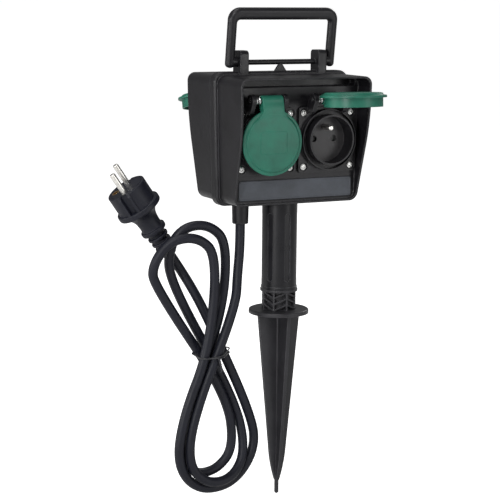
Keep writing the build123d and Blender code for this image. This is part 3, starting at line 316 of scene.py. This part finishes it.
def moulded(name, colour, edge_highlight_colour, rough, grain_mm, grain_depth_mm, round_mm=0.5, well_floor_sheen=None):
    """Moulded plastic: fine spark-eroded grain, cloudy tone and gloss, and a painted highlight in paler
    patches along the edges.

    The last argument is a painted sheen: a paler tone laid on what lies close to the case's middle plane,
    the floors of the wells.
    """
    paint = Paint(name)
    cloud = paint.noise(CLOUD_MM, detail=4.0, rough=0.6)
    grain = paint.noise(grain_mm, detail=2.0, rough=0.5, seed=3.0)
    normal, edge = paint.rounded(round_mm)
    darker, lighter = (tuple(min(1.0, c * share) for c in colour) for share in CLOUD_TONES)
    tone = paint.blend(paint.remap(cloud, *CLOUD_CORE), darker, lighter)
    # Painted highlight: edges are painted paler in patches, standing in for light caught on the edges
    highlight_noise = paint.noise(HIGHLIGHT_PATCH_MM, detail=5.0, rough=0.7, seed=1.0)
    patches = paint.remap(highlight_noise, *NOISE_CORE, *HIGHLIGHT_PATCH_SHARES)
    tone = paint.blend(paint.math("MULTIPLY", edge, patches), tone, edge_highlight_colour)
    # Painted sheen: the wells' floors are painted paler than the rest of the insert
    if well_floor_sheen is not None:
        parts = paint.add("ShaderNodeSeparateXYZ")
        paint.link(paint.place, parts.inputs["Vector"])
        past_middle = paint.math("SUBTRACT", parts.outputs["Y"], CASE_MID_Y * MM)
        from_middle = paint.math("ABSOLUTE", past_middle, 0.0)
        start, full = WELL_FLOOR_REACH
        tone = paint.blend(paint.remap(from_middle, start * MM, full * MM), tone, well_floor_sheen)
    paint.link(tone, paint.shader.inputs["Base Color"])
    spots = paint.remap(cloud, *NOISE_CORE, *(rough + step for step in CLOUD_ROUGH))
    fine = paint.remap(grain, *NOISE_CORE, -GRAIN_ROUGH, GRAIN_ROUGH)
    paint.link(paint.math("ADD", spots, fine), paint.shader.inputs["Roughness"])
    paint.link(paint.bump(grain, grain_depth_mm, 0.6, normal), paint.shader.inputs["Normal"])
    paint.shader.inputs["IOR"].default_value = PLASTIC_IOR
    return paint.material


def metal(name, colour, rough, brush_mm, round_mm=0.15):
    """Plated or turned metal: fine brushing, cloudy plating, and edges painted brighter as a painted
    highlight.
    """
    paint = Paint(name)
    cloud = paint.noise(PLATING_MM, detail=4.0, rough=0.6)
    brush = paint.noise(brush_mm, detail=3.0, rough=0.6, stretch=BRUSH_STRETCH, seed=2.0)
    normal, edge = paint.rounded(round_mm)
    darker, brighter = (tuple(min(1.0, c * share) for c in colour) for share in PLATING_TONES)
    tone = paint.blend(paint.remap(cloud, *NOISE_CORE), darker, colour)
    # Painted highlight: the edges are painted brighter than the plating
    tone = paint.blend(edge, tone, brighter)
    paint.link(tone, paint.shader.inputs["Base Color"])
    spots = paint.remap(cloud, *NOISE_CORE, *(rough + step for step in PLATING_ROUGH))
    paint.link(spots, paint.shader.inputs["Roughness"])
    paint.link(paint.bump(brush, BRUSH_DEPTH_MM, 0.5, normal), paint.shader.inputs["Normal"])
    paint.shader.inputs["Metallic"].default_value = 1.0
    return paint.material


# The edge colours below are painted highlights laid along each material's edges
CASE_BLACK = (0.0088, 0.0083, 0.0102)
CASE_EDGE_HIGHLIGHT = (0.06, 0.06, 0.065)
LID_GREEN = (0.0165, 0.13, 0.086)
LID_EDGE_HIGHLIGHT = (0.05, 0.22, 0.16)
PANEL_GREY = (0.06, 0.066, 0.078)
PANEL_EDGE_HIGHLIGHT = (0.1, 0.106, 0.12)
POST_BLACK = (0.007, 0.007, 0.0092)
POST_EDGE_HIGHLIGHT = (0.12, 0.12, 0.13)
SPIKE_GREY = (0.026, 0.0255, 0.029)
INSERT_BLACK = (0.01, 0.0095, 0.0112)
INSERT_EDGE_HIGHLIGHT = (0.11, 0.11, 0.115)
# Painted sheen on the floors of the wells, paler than the insert
WELL_FLOOR_SHEEN = (0.05, 0.048, 0.05)
CORD_BLACK = (0.0055, 0.0062, 0.0125)
CORD_EDGE_HIGHLIGHT = (0.028, 0.031, 0.042)
SEAL_BLACK = (0.012, 0.012, 0.012)
ZINC = (0.9, 0.9, 0.88)
STEEL = (0.6, 0.6, 0.6)
BRASS = (0.75, 0.52, 0.24)
NICKEL = (0.93, 0.91, 0.86)
SHUTTER_GREY = (0.1, 0.1, 0.1)
SHUTTER_EDGE_HIGHLIGHT = (0.16, 0.16, 0.16)
LIVE_BROWN = (0.2, 0.07, 0.03)
LIVE_EDGE_HIGHLIGHT = (0.25, 0.1, 0.05)
NEUTRAL_BLUE = (0.02, 0.1, 0.4)
NEUTRAL_EDGE_HIGHLIGHT = (0.05, 0.15, 0.45)
EARTH_GREEN = (0.2, 0.4, 0.03)
EARTH_EDGE_HIGHLIGHT = (0.3, 0.45, 0.06)
TIE_GREY = (0.03, 0.03, 0.034)
TIE_EDGE_HIGHLIGHT = (0.07, 0.07, 0.075)

# Plastics: colour, painted edge highlight colour, roughness, then grain size, grain depth and edge rounding
# in mm.
# Metals: colour, roughness and brushing size in mm.
materials = {
    "case_plastic": moulded("case_plastic", CASE_BLACK, CASE_EDGE_HIGHLIGHT, 0.36, 0.35, 0.035, 1.7),
    "lid_plastic": moulded("lid_plastic", LID_GREEN, LID_EDGE_HIGHLIGHT, 0.4, 0.4, 0.025),
    "post_plastic": moulded("post_plastic", POST_BLACK, POST_EDGE_HIGHLIGHT, 0.32, 0.5, 0.03, 0.7),
    "cord_rubber": moulded("cord_rubber", CORD_BLACK, CORD_EDGE_HIGHLIGHT, 0.5, 0.9, 0.03, 0.3),
    "zinc_steel": metal("zinc_steel", ZINC, 0.27, 0.25),
    "spring_steel": metal("spring_steel", STEEL, 0.28, 0.15),
    "brass": metal("brass", BRASS, 0.3, 0.3),
    "pin_nickel": metal("pin_nickel", NICKEL, 0.34, 0.2),
    "seal_rubber": moulded("seal_rubber", SEAL_BLACK, CORD_EDGE_HIGHLIGHT, 0.62, 0.8, 0.03, 0.2),
    "insert_plastic": moulded(
        "insert_plastic", INSERT_BLACK, INSERT_EDGE_HIGHLIGHT, 0.36, 0.4, 0.02, 0.45, well_floor_sheen=WELL_FLOOR_SHEEN
    ),
    "shutter_plastic": moulded("shutter_plastic", SHUTTER_GREY, SHUTTER_EDGE_HIGHLIGHT, 0.4, 0.4, 0.02, 0.2),
    "live_plastic": moulded("live_plastic", LIVE_BROWN, LIVE_EDGE_HIGHLIGHT, 0.4, 0.5, 0.02, 0.2),
    "neutral_plastic": moulded("neutral_plastic", NEUTRAL_BLUE, NEUTRAL_EDGE_HIGHLIGHT, 0.4, 0.5, 0.02, 0.2),
    "earth_plastic": moulded("earth_plastic", EARTH_GREEN, EARTH_EDGE_HIGHLIGHT, 0.4, 0.5, 0.02, 0.2),
}
slot_of = {row["node"]: row["material_slot"] for row in frame["record"]["subparts"]}


def dress_nodes():
    """Give every CAD node its slot's material."""
    for name, node in nodes.items():
        node.data.materials.clear()
        node.data.materials.append(materials[slot_of[name]])


dress_nodes()
spike_paint = moulded("spike_plastic", SPIKE_GREY, POST_EDGE_HIGHLIGHT, 0.4, 0.5, 0.03, 0.7)
nodes["ground_spike"].data.materials[0] = spike_paint


# Pieces in mesh code
def rounded_profile(corners, steps=4):
    """A profile of radius and height whose corners are each rounded by their own reach."""
    points = []
    for k, (across, up, reach) in enumerate(corners):
        here = Vector((across, up))
        if reach <= 0 or k in (0, len(corners) - 1):
            points.append(here)
            continue
        before = Vector(corners[k - 1][:2]) - here
        after = Vector(corners[k + 1][:2]) - here
        cut = min(reach, before.length * 0.49, after.length * 0.49)
        first = here + before.normalized() * cut
        last = here + after.normalized() * cut
        for i in range(steps + 1):
            t = i / steps
            points.append(first * (1 - t) ** 2 + here * 2 * t * (1 - t) + last * t * t)
    return [(p.x, p.y) for p in points]


def add_vert(work, place, x, y, z):
    return work.verts.new(place @ (Vector((x, y, z)) * MM))


def join_loops(work, loops):
    """Faces between each closed loop of points and the next."""
    for first, second in zip(loops, loops[1:]):
        for k in range(len(first)):
            n = (k + 1) % len(first)
            work.faces.new((first[k], first[n], second[n], second[k]))


def lathe(work, place, profile, angles, change=None):
    """Turn a profile about a placed axis; a change may move each point as it turns."""
    rings = []
    for radius, height in profile:
        if radius < 1e-6:
            rings.append([add_vert(work, place, 0.0, 0.0, height)])
            continue
        ring = []
        for angle in angles:
            r, z = (radius, height) if change is None else change(radius, height, angle)
            ring.append(add_vert(work, place, r * math.cos(angle), r * math.sin(angle), z))
        rings.append(ring)
    count = len(angles)
    for low, high in zip(rings, rings[1:]):
        for k in range(count):
            n = (k + 1) % count
            if len(low) == 1:
                work.faces.new((low[0], high[n], high[k]))
            elif len(high) == 1:
                work.faces.new((low[k], low[n], high[0]))
            else:
                work.faces.new((low[k], low[n], high[n], high[k]))
    return rings


def even_angles(count):
    return [2 * math.pi * k / count for k in range(count)]


def finish_mesh(name, work, material, sharp=32.0):
    mesh = bpy.data.meshes.new(name)
    work.to_mesh(mesh)
    work.free()
    mesh.shade_smooth()
    mesh.set_sharp_from_angle(angle=math.radians(sharp))
    mesh.materials.append(material)
    return add_object(name, mesh)


def place_matrix(origin_mm, across, axis):
    """A place at this point, with its x and z along the given directions."""
    z = Vector(axis).normalized()
    x = (Vector(across) - z * Vector(across).dot(z)).normalized()
    y = z.cross(x)
    turn = Matrix((x, y, z)).transposed().to_4x4()
    return Matrix.Translation(Vector(origin_mm) * MM) @ turn


# Plug: head with guide grooves and rails, bead, flared neck, ring and bellows.
# Its heights run from the cord to the front.
PLUG_ROLL = math.radians(55.0)
PLUG_LENGTH = (PLUG_FRONT - PLUG_END).length
PLUG_SIDE = Vector((0.0, 1.0, 0.0)).cross(PLUG_DIR).normalized()
PLUG_ACROSS = Matrix.Rotation(PLUG_ROLL, 3, PLUG_DIR) @ PLUG_SIDE
PLUG_HEAD_R = 17.2
PLUG_BEAD_R = 19.6
PLUG_BEAD_LOW = 47.6
PLUG_BEAD_HIGH = 53.0
GROOVE_FLOOR = 14.4
GROOVE_HALF = 3.0
RAIL_WIDTH = 2.4
RAIL_RISE = 1.3
RAIL_SHORT = 2.5
# Extra angles where the sides of the grooves and rails fall
GROOVE_DEGREES = (9.4, 10.4, 17.5, 18.6)
EARTH_PLACE = (0.0, 10.0)
EARTH_HOLE_R = 3.22
EARTH_HOLE_DEPTH = 1.5
# Height and radius of each rib
BELLOWS = ((2.0, 8.0), (7.4, 8.4), (12.8, 8.8), (18.2, 9.2))
RIB_HEIGHT = 2.7
# The flare's outline is part of an ellipse
FLARE_CENTRE = (22.9, 35.6)
FLARE_REACH = (13.4, 13.0)
FLARE_DEGREES = (178.0, 168.0, 157.0, 146.0, 135.0, 125.0, 116.0)


def plug_turn(radius, height, angle):
    """Cut the two guide grooves into the head and raise a rail on each side of them."""
    if height < PLUG_BEAD_HIGH - 0.2 or radius < GROOVE_FLOOR:
        return radius, height
    side = abs(radius * math.sin(angle))
    if side < GROOVE_HALF:
        return GROOVE_FLOOR / abs(math.cos(angle)), height
    on_skin = radius > PLUG_HEAD_R - 0.8 and height < PLUG_LENGTH - RAIL_SHORT
    if side < GROOVE_HALF + RAIL_WIDTH and on_skin:
        return radius + RAIL_RISE, height
    return radius, height


def make_plug():
    work = bmesh.new()
    place = place_matrix(PLUG_END, PLUG_ACROSS, PLUG_DIR)
    # Radius, height and rounding of each corner, from the cord to the front
    corners = [(0.0, 0.0, 0.0), (6.2, 0.0, 0.9)]
    for low, rib_r in BELLOWS:
        high = low + RIB_HEIGHT
        corners += [(6.6, low, 0.5), (rib_r, low, 1.1), (rib_r, high, 1.1), (6.8, high, 0.5)]
    corners += [(7.0, 24.5, 0.5), (11.2, 24.5, 1.8), (11.2, 28.7, 1.8), (9.5, 28.8, 0.8)]
    corners += [(9.2, 32.5, 1.5)]
    for turn in map(math.radians, FLARE_DEGREES):
        across = FLARE_CENTRE[0] + FLARE_REACH[0] * math.cos(turn)
        corners.append((across, FLARE_CENTRE[1] + FLARE_REACH[1] * math.sin(turn), 0.6))
    corners += [(PLUG_BEAD_R, PLUG_BEAD_LOW, 2.2), (PLUG_BEAD_R, PLUG_BEAD_HIGH - 0.4, 2.2)]
    corners += [(PLUG_HEAD_R, PLUG_BEAD_HIGH, 0.4), (PLUG_HEAD_R, PLUG_LENGTH - 3.0, 0.1)]
    corners += [(PLUG_HEAD_R, PLUG_LENGTH, 1.2), (15.4, PLUG_LENGTH, 0.2)]
    corners += [(15.2, PLUG_LENGTH - 0.5, 0.15), (14.6, PLUG_LENGTH - 0.5, 0.15), (14.4, PLUG_LENGTH, 0.0)]
    angles = even_angles(96)
    for middle in (0.0, math.pi):
        for step in map(math.radians, GROOVE_DEGREES):
            angles += [middle + step, (middle - step) % (2 * math.pi)]
    rings = lathe(work, place, rounded_profile(corners), sorted(angles), plug_turn)
    hole = []
    wall = []
    for angle in even_angles(32):
        x = EARTH_PLACE[0] + EARTH_HOLE_R * math.cos(angle)
        y = EARTH_PLACE[1] + EARTH_HOLE_R * math.sin(angle)
        hole.append(add_vert(work, place, x, y, PLUG_LENGTH))
        wall.append(add_vert(work, place, x, y, PLUG_LENGTH - EARTH_HOLE_DEPTH))
    edges = []
    for ring in (rings[-1], hole):
        for k, vert in enumerate(ring):
            ends = (vert, ring[(k + 1) % len(ring)])
            edges.append(work.edges.get(ends) or work.edges.new(ends))
    bmesh.ops.triangle_fill(work, use_beauty=True, use_dissolve=False, edges=edges)
    for k in range(len(hole)):
        n = (k + 1) % len(hole)
        work.faces.new((hole[k], wall[k], wall[n], hole[n]))
    bmesh.ops.recalc_face_normals(work, faces=work.faces)
    return finish_mesh("plug_dress", work, materials["cord_rubber"])


# Screws: rounded heads with a cross recess, and a plain shank below.
# The recess and the dome are shares of the head's radius and height.
DOME_FALL = 0.45
CROSS_REACH = 0.66
CROSS_HALF = 0.25
CROSS_SLOPE = 0.1
CROSS_DEPTH = 0.62
SCREW_RINGS = (0.12, 0.24, 0.36, 0.46, 0.54, 0.6, 0.68, 0.8, 0.9, 0.97)


def screw(work, place, head_r, head_t, shank_r, length, turn):
    """One screw, added to the mesh; turn is how far its cross is turned, in radians."""

    def dome(share):
        return head_t * (1 - DOME_FALL * share * share)

    def recess(x, y):
        across = max(abs(x), abs(y)) / head_r
        arm = min(abs(x), abs(y)) / head_r
        inside = max(0.0, min(1.0, (CROSS_REACH - across) / CROSS_SLOPE))
        inside *= max(0.0, min(1.0, (CROSS_HALF - arm) / CROSS_SLOPE))
        return inside * head_t * CROSS_DEPTH

    def sunk(radius, height, angle):
        """Give the points of the head the height of the dome less the recess."""
        if height <= 0.0:
            return radius, height
        share = radius / head_r
        x = radius * math.cos(angle + turn)
        y = radius * math.sin(angle + turn)
        return radius, dome(share) - recess(x, y)

    profile = [(0.0, head_t * (1 - CROSS_DEPTH))] + [(head_r * share, head_t) for share in SCREW_RINGS]
    profile += [(head_r, 0.0), (shank_r, -0.05), (shank_r, -length), (0.0, -length)]
    start = len(work.faces)
    lathe(work, place, profile, even_angles(48), sunk)
    work.faces.ensure_lookup_table()
    bmesh.ops.reverse_faces(work, faces=work.faces[start:])


# Head radius and height, shank radius and length
PLATE_SCREW = (2.75, 1.35, 1.4, 8.0)
CASE_SCREW = (3.2, 2.4, 1.7, 18.5)
PLATE_SCREW_SUNK = 0.9
CASE_SCREW_SUNK = 2.2
PLATE_SCREW_OFFSET = 22.6
SOCKET_X = 29.0
SOCKET_Z = 151.9
CASE_SCREW_PLACES = ((51.4, 109.5), (52.6, 190.0))


def make_plate_screws():
    low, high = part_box("plate_screws")
    work = bmesh.new()
    count = 0
    for y, way in ((low.y / MM + PLATE_SCREW_SUNK, -1.0), (high.y / MM - PLATE_SCREW_SUNK, 1.0)):
        for side in (-1, 1):
            for right in (-1, 1):
                for up in (-1, 1):
                    x = side * SOCKET_X + right * PLATE_SCREW_OFFSET
                    z = SOCKET_Z + up * PLATE_SCREW_OFFSET
                    place = place_matrix((x, y, z), (1.0, 0.0, 0.0), (0.0, way, 0.0))
                    screw(work, place, *PLATE_SCREW, turn=0.4 + 1.1 * count)
                    count += 1
    return finish_mesh("plate_screw_heads", work, materials["zinc_steel"], sharp=40.0)


def make_case_screws():
    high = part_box("case_screws")[1]
    y = high.y / MM - CASE_SCREW_SUNK
    work = bmesh.new()
    for side in (-1, 1):
        for k, (x, z) in enumerate(CASE_SCREW_PLACES):
            place = place_matrix((side * x, y, z), (1.0, 0.0, 0.0), (0.0, 1.0, 0.0))
            screw(work, place, *CASE_SCREW, turn=0.7 + 0.9 * k + side)
    return finish_mesh("case_screw_heads", work, materials["zinc_steel"], sharp=40.0)


# Label plate: bare, with a raised border
PANEL_HALF = 54.0
PANEL_LOW = 102.5
PANEL_HIGH = 119.5
PANEL_FACE_Y = -27.5
LABEL_GAP = 0.4
LABEL_CORNER = 2.0
# Inset and rise of each loop, from the edge inwards
LABEL_LOOPS = ((0.0, 0.0), (0.05, 0.45), (0.35, 0.6), (1.3, 0.6), (1.5, 0.35), (1.8, 0.3))


def rounded_loop(half, low, high, corner, steps=6):
    """The outline of a rectangle with rounded corners; half is half its width."""
    points = []
    middle = (low + high) / 2
    for right, up, first in ((1, 1, 0.0), (-1, 1, 90.0), (-1, -1, 180.0), (1, -1, 270.0)):
        cx = right * (half - corner)
        cz = middle + up * ((high - low) / 2 - corner)
        for i in range(steps + 1):
            turn = math.radians(first + 90.0 * i / steps)
            points.append((cx + corner * math.cos(turn), cz + corner * math.sin(turn)))
    return points


def make_label_plate():
    work = bmesh.new()
    loops = []
    for inset, rise in LABEL_LOOPS:
        cut = inset + LABEL_GAP
        corner = max(0.3, LABEL_CORNER - inset * 0.6)
        outline = rounded_loop(PANEL_HALF - cut, PANEL_LOW + cut, PANEL_HIGH - cut, corner)
        loops.append([work.verts.new(Vector((x, PANEL_FACE_Y - rise, z)) * MM) for x, z in outline])
    join_loops(work, loops)
    work.faces.new(loops[-1])
    bmesh.ops.recalc_face_normals(work, faces=work.faces)
    return finish_mesh("label_plate", work, label_paint, sharp=25.0)


# Lid faces: a smooth skin over each flap, with the neck running into the plateau.
# Up is from the lid's middle towards the hinge, and out is away from the case.
LID_HINGE_UP = 34.4
LID_HINGE_OUT = 7.7
LID_SKIN_R = 4.35
BARREL_FOOT_R = 2.7
BARREL_DEGREES = range(0, 121, 12)
LID_TOP = 13.5
# Radius, height and rounding, from the edge to the middle
LID_CORNERS = (
    (26.7, 9.45, 0.0),
    (27.5, 9.45, 0.3),
    (27.5, 11.45, 0.7),
    (24.9, 11.45, 0.6),
    (23.9, LID_TOP, 0.9),
    (0.0, LID_TOP, 0.0),
)
NECK_HALF = 9.75
NECK_FLARE = 5.6
NECK_FLARE_UP = 26.4
NECK_FLARE_LENGTH = 8.4
NECK_FLARE_POWER = 1.15
# Place, height of the foot and height of the top, from the plateau to the hinge
NECK_PLACES = (
    (18.0, 9.6, 13.0),
    (20.5, 9.6, 13.3),
    (22.5, 9.6, 13.46),
    (24.0, 9.6, 13.5),
    (25.2, 9.6, 13.5),
    (26.4, 9.6, 13.5),
    (28.0, 5.5, 13.4),
    (30.0, 4.7, 13.1),
    (31.6, 4.7, 12.7),
    (33.0, 10.2, 12.3),
)
# Inset and drop of the points that round the neck's long edges
NECK_ROUND = ((0.0, 0.8), (0.06, 0.5), (0.24, 0.24), (0.5, 0.06), (0.8, 0.0))
BADGE_HALF_X = 12.4
BADGE_HALF_Y = 9.4
BADGE_CORNER = 2.2
# Inset and rise of each loop, from the edge inwards
BADGE_LOOPS = ((0.0, -0.3), (0.1, 0.02), (0.35, 0.11), (0.7, 0.15), (1.1, 0.16))
# Side, facing and opening angle at rest
LID_PLACES = {
    "front_left": (-1.0, -1.0, 0.0),
    "front_right": (1.0, -1.0, 93.0),
    "rear_left": (-1.0, 1.0, 78.0),
    "rear_right": (1.0, 1.0, 0.0),
}
PLATE_FACE = 34.3


def lid_matrix(name):
    """The lid's own frame: x across, y towards the hinge, z out of the case, opened as at rest."""
    side, facing, angle = LID_PLACES[name]
    across = Vector((-facing, 0.0, 0.0))
    out = Vector((0.0, facing, 0.0))
    middle = Vector((side * SOCKET_X, CASE_MID_Y + facing * PLATE_FACE, SOCKET_Z))
    place = place_matrix(middle, across, out)
    hinge = place @ (Vector((0.0, LID_HINGE_UP, LID_HINGE_OUT)) * MM)
    turn = Matrix.Rotation(math.radians(angle), 4, Vector((facing, 0.0, 0.0)))
    return Matrix.Translation(hinge) @ turn @ Matrix.Translation(-hinge) @ place


def neck_sections():
    """Sections of the neck: half width, then the place and height of its foot and of its top."""
    sections = []
    for up, foot, top in NECK_PLACES:
        flared = max(0.0, (NECK_FLARE_UP - up) / NECK_FLARE_LENGTH)
        half = NECK_HALF + NECK_FLARE * flared**NECK_FLARE_POWER
        sections.append((half, (up, foot), (up, top)))
    for turn in map(math.radians, BARREL_DEGREES):
        foot, top = (
            (LID_HINGE_UP + reach * math.sin(turn), LID_HINGE_OUT + reach * math.cos(turn))
            for reach in (BARREL_FOOT_R, LID_SKIN_R)
        )
        sections.append((NECK_HALF, foot, top))
    return sections


def make_lid_skin(name):
    work = bmesh.new()
    place = lid_matrix(name)
    lathe(work, place, rounded_profile(LID_CORNERS), even_angles(96))
    rows = []
    for half, foot, top in neck_sections():
        rise = (Vector(top) - Vector(foot)).normalized()
        side = [(half, Vector(foot))]
        side += [(half - inset, Vector(top) - rise * drop) for inset, drop in NECK_ROUND]
        side += [(half * 0.5, Vector(top))]
        outline = [(-x, at) for x, at in side] + [(0.0, Vector(top))] + side[::-1]
        rows.append([add_vert(work, place, x, at.x, at.y) for x, at in outline])
    join_loops(work, rows)
    badge = []
    for inset, rise in BADGE_LOOPS:
        reach = BADGE_HALF_Y - inset
        outline = rounded_loop(BADGE_HALF_X - inset, -reach, reach, BADGE_CORNER - inset)
        badge.append([add_vert(work, place, x, y, LID_TOP + rise) for x, y in outline])
    join_loops(work, badge)
    work.faces.new(badge[-1])
    return finish_mesh("lid_face_" + name, work, materials["lid_plastic"], sharp=40.0)


# Tie: two turns of coated wire round the waist of the hank, twisted at the front
TIE_STRANDS = ((0, 0.5), (0, -0.5), (1, 0), (2, -0.5), (2, 0.5), (3, 0))
TIE_SLACK = 1.9
TIE_WIRE_R = 0.6
# Lift and lean of each turn
TIE_TURNS = ((0.75, 2.6), (-0.75, -1.2))
# Where the twist starts, as a share of the tie's width
TWIST_SHARE = 0.42
TWIST_POINTS = 14
TWIST_STEP = math.radians(75.0)
TWIST_R = 0.66
TWIST_DRIFT = (0.28, 0.12, -0.9)
# Starting angle of each end of the wire, and how far it spreads below the twist
TWIST_ENDS = ((0.0, -1.6), (math.pi, 1.8))


def hull_outline(points):
    """The outer loop of points in a plane."""
    points = sorted(set(points))

    def half(row):
        chain = []
        for p in row:
            while len(chain) > 1:
                (ax, ay), (bx, by) = chain[-2:]
                if (bx - ax) * (p[1] - ay) - (by - ay) * (p[0] - ax) > 0:
                    break
                chain.pop()
            chain.append(p)
        return chain[:-1]

    return half(points) + half(points[::-1])


def make_tie():
    reach = CORD_R + TIE_SLACK
    rim = []
    for row, steps in TIE_STRANDS:
        middle = strand_point(row, steps, WAIST_Z)
        for angle in even_angles(20):
            rim.append((middle.x + reach * math.cos(angle), middle.y + reach * math.sin(angle)))
    outline = hull_outline(rim)
    data = tube_curve("cord_tie_wire", TIE_WIRE_R, around=4, along=4)
    low_x = min(x for x, y in outline)
    width = max(x for x, y in outline) - low_x
    for lift, lean in TIE_TURNS:
        turn = []
        for x, y in outline:
            share = (x - low_x) / width - 0.5
            turn.append((x * MM, y * MM, (WAIST_Z + lift + lean * share) * MM))
        add_spline(data, turn, closed=True)
    knot = Vector((low_x + TWIST_SHARE * width, min(y for x, y in outline) - 0.4, WAIST_Z))
    for phase, spread in TWIST_ENDS:
        path = []
        for k in range(TWIST_POINTS):
            angle = phase + k * TWIST_STEP
            x = TWIST_R * math.cos(angle) + TWIST_DRIFT[0] * k
            y = TWIST_R * math.sin(angle) + TWIST_DRIFT[1] * k
            path.append(knot + Vector((x, y, TWIST_DRIFT[2] * k)))
        path.append(path[-1] + Vector((spread, 0.2, -1.8)))
        add_spline(data, [at * MM for at in path])
    data.materials.append(tie_paint)
    return add_object("cord_tie_wire", data)


tie_paint = moulded("tie_coating", TIE_GREY, TIE_EDGE_HIGHLIGHT, 0.35, 0.3, 0.02, 0.2)
label_paint = moulded("label_film", PANEL_GREY, PANEL_EDGE_HIGHLIGHT, 0.5, 0.3, 0.03, 0.2)
plug = make_plug()
tie = make_tie()
for piece, node, slot_name in (
    (plug, "plug_body", "cord_rubber"),
    (tie, "cord_tie", "seal_rubber"),
    (make_plate_screws(), "plate_screws", "zinc_steel"),
    (make_case_screws(), "case_screws", "zinc_steel"),
    (make_label_plate(), None, "case_plastic"),
):
    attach(piece, "case")
    if node:
        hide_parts(node)
for name in LID_PLACES:
    face = make_lid_skin(name)
    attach(face, "lid_" + name)

cord = make_cord()
cord.data.materials.append(materials["cord_rubber"])
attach(cord, "case")
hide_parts("cord_lead", "cord_hank", "cord_tail")


# Floor, world and lamps
FLOOR_GAP = 0.0002
FLOOR_Z = cad_low.z - FLOOR_GAP
FLOOR_REACH = 60.0
FLOOR_TONE = (0.86, 0.86, 0.86, 1.0)
WHITE = (1.0, 1.0, 1.0, 1.0)
# How brightly the camera sees the floor, beside the light that falls on it
FLOOR_LIFT = 0.84
# The world is white to the camera and lights the part at this strength
WORLD_LIGHT = 0.2


def make_stage():
    mesh = bpy.data.meshes.new("floor")
    corners = [(x * FLOOR_REACH, y * FLOOR_REACH, FLOOR_Z) for x, y in ((-1, -1), (1, -1), (1, 1), (-1, 1))]
    mesh.from_pydata(corners, [], [(0, 1, 2, 3)])
    floor = add_object("floor", mesh)
    material = bpy.data.materials.new("floor_white")
    material.use_nodes = True
    tree = material.node_tree
    shader = tree.nodes["Principled BSDF"]
    shader.inputs["Base Color"].default_value = FLOOR_TONE
    shader.inputs["Roughness"].default_value = 0.9
    shader.inputs["Specular IOR Level"].default_value = 0.1
    path = tree.nodes.new("ShaderNodeLightPath")
    lift = tree.nodes.new("ShaderNodeMath")
    lift.operation = "MULTIPLY"
    lift.inputs[1].default_value = FLOOR_LIFT
    tree.links.new(path.outputs["Is Camera Ray"], lift.inputs[0])
    shader.inputs["Emission Color"].default_value = WHITE
    tree.links.new(lift.outputs["Value"], shader.inputs["Emission Strength"])
    mesh.materials.append(material)

    world = bpy.data.worlds.new("studio")
    bpy.context.scene.world = world
    world.use_nodes = True
    tree = world.node_tree
    background = tree.nodes["Background"]
    background.inputs["Color"].default_value = WHITE
    path = tree.nodes.new("ShaderNodeLightPath")
    seen = tree.nodes.new("ShaderNodeMath")
    seen.operation = "MAXIMUM"
    tree.links.new(path.outputs["Is Camera Ray"], seen.inputs[0])
    tree.links.new(path.outputs["Is Transmission Ray"], seen.inputs[1])
    level = tree.nodes.new("ShaderNodeMapRange")
    level.inputs["To Min"].default_value = WORLD_LIGHT
    level.inputs["To Max"].default_value = 1.0
    tree.links.new(seen.outputs["Value"], level.inputs["Value"])
    tree.links.new(level.outputs["Result"], background.inputs["Strength"])


def area_lamp(name, place, target, size, watts):
    """A square lamp at this place that faces the target."""
    data = bpy.data.lights.new(name, "AREA")
    data.shape = "SQUARE"
    data.size = size
    data.energy = watts
    lamp = add_object(name, data)
    lamp.location = place
    lamp.rotation_euler = (Vector(target) - Vector(place)).to_track_quat("-Z", "Y").to_euler()


make_stage()
# Place, target, size and watts of each lamp
area_lamp("key_lamp", (-1.1, -1.3, 1.5), (0.0, 0.0, 0.05), 0.9, 20.0)
area_lamp("front_lamp", (0.85, -1.6, 0.3), (0.0, 0.0, 0.08), 0.6, 5.5)
area_lamp("strip_lamp", (-1.45, -0.85, 0.3), (-0.05, 0.0, 0.1), 0.22, 9.0)
area_lamp("edge_lamp", (-1.55, 0.5, 0.2), (-0.02, 0.0, 0.02), 0.16, 5.0)
area_lamp("rear_lamp", (1.5, 0.9, 1.1), (0.0, 0.0, 0.08), 0.8, 9.0)
area_lamp("top_lamp", (-0.3, 0.2, 1.8), (0.0, 0.0, 0.05), 0.9, 9.0)

bpy.context.scene.view_settings.view_transform = "Standard"
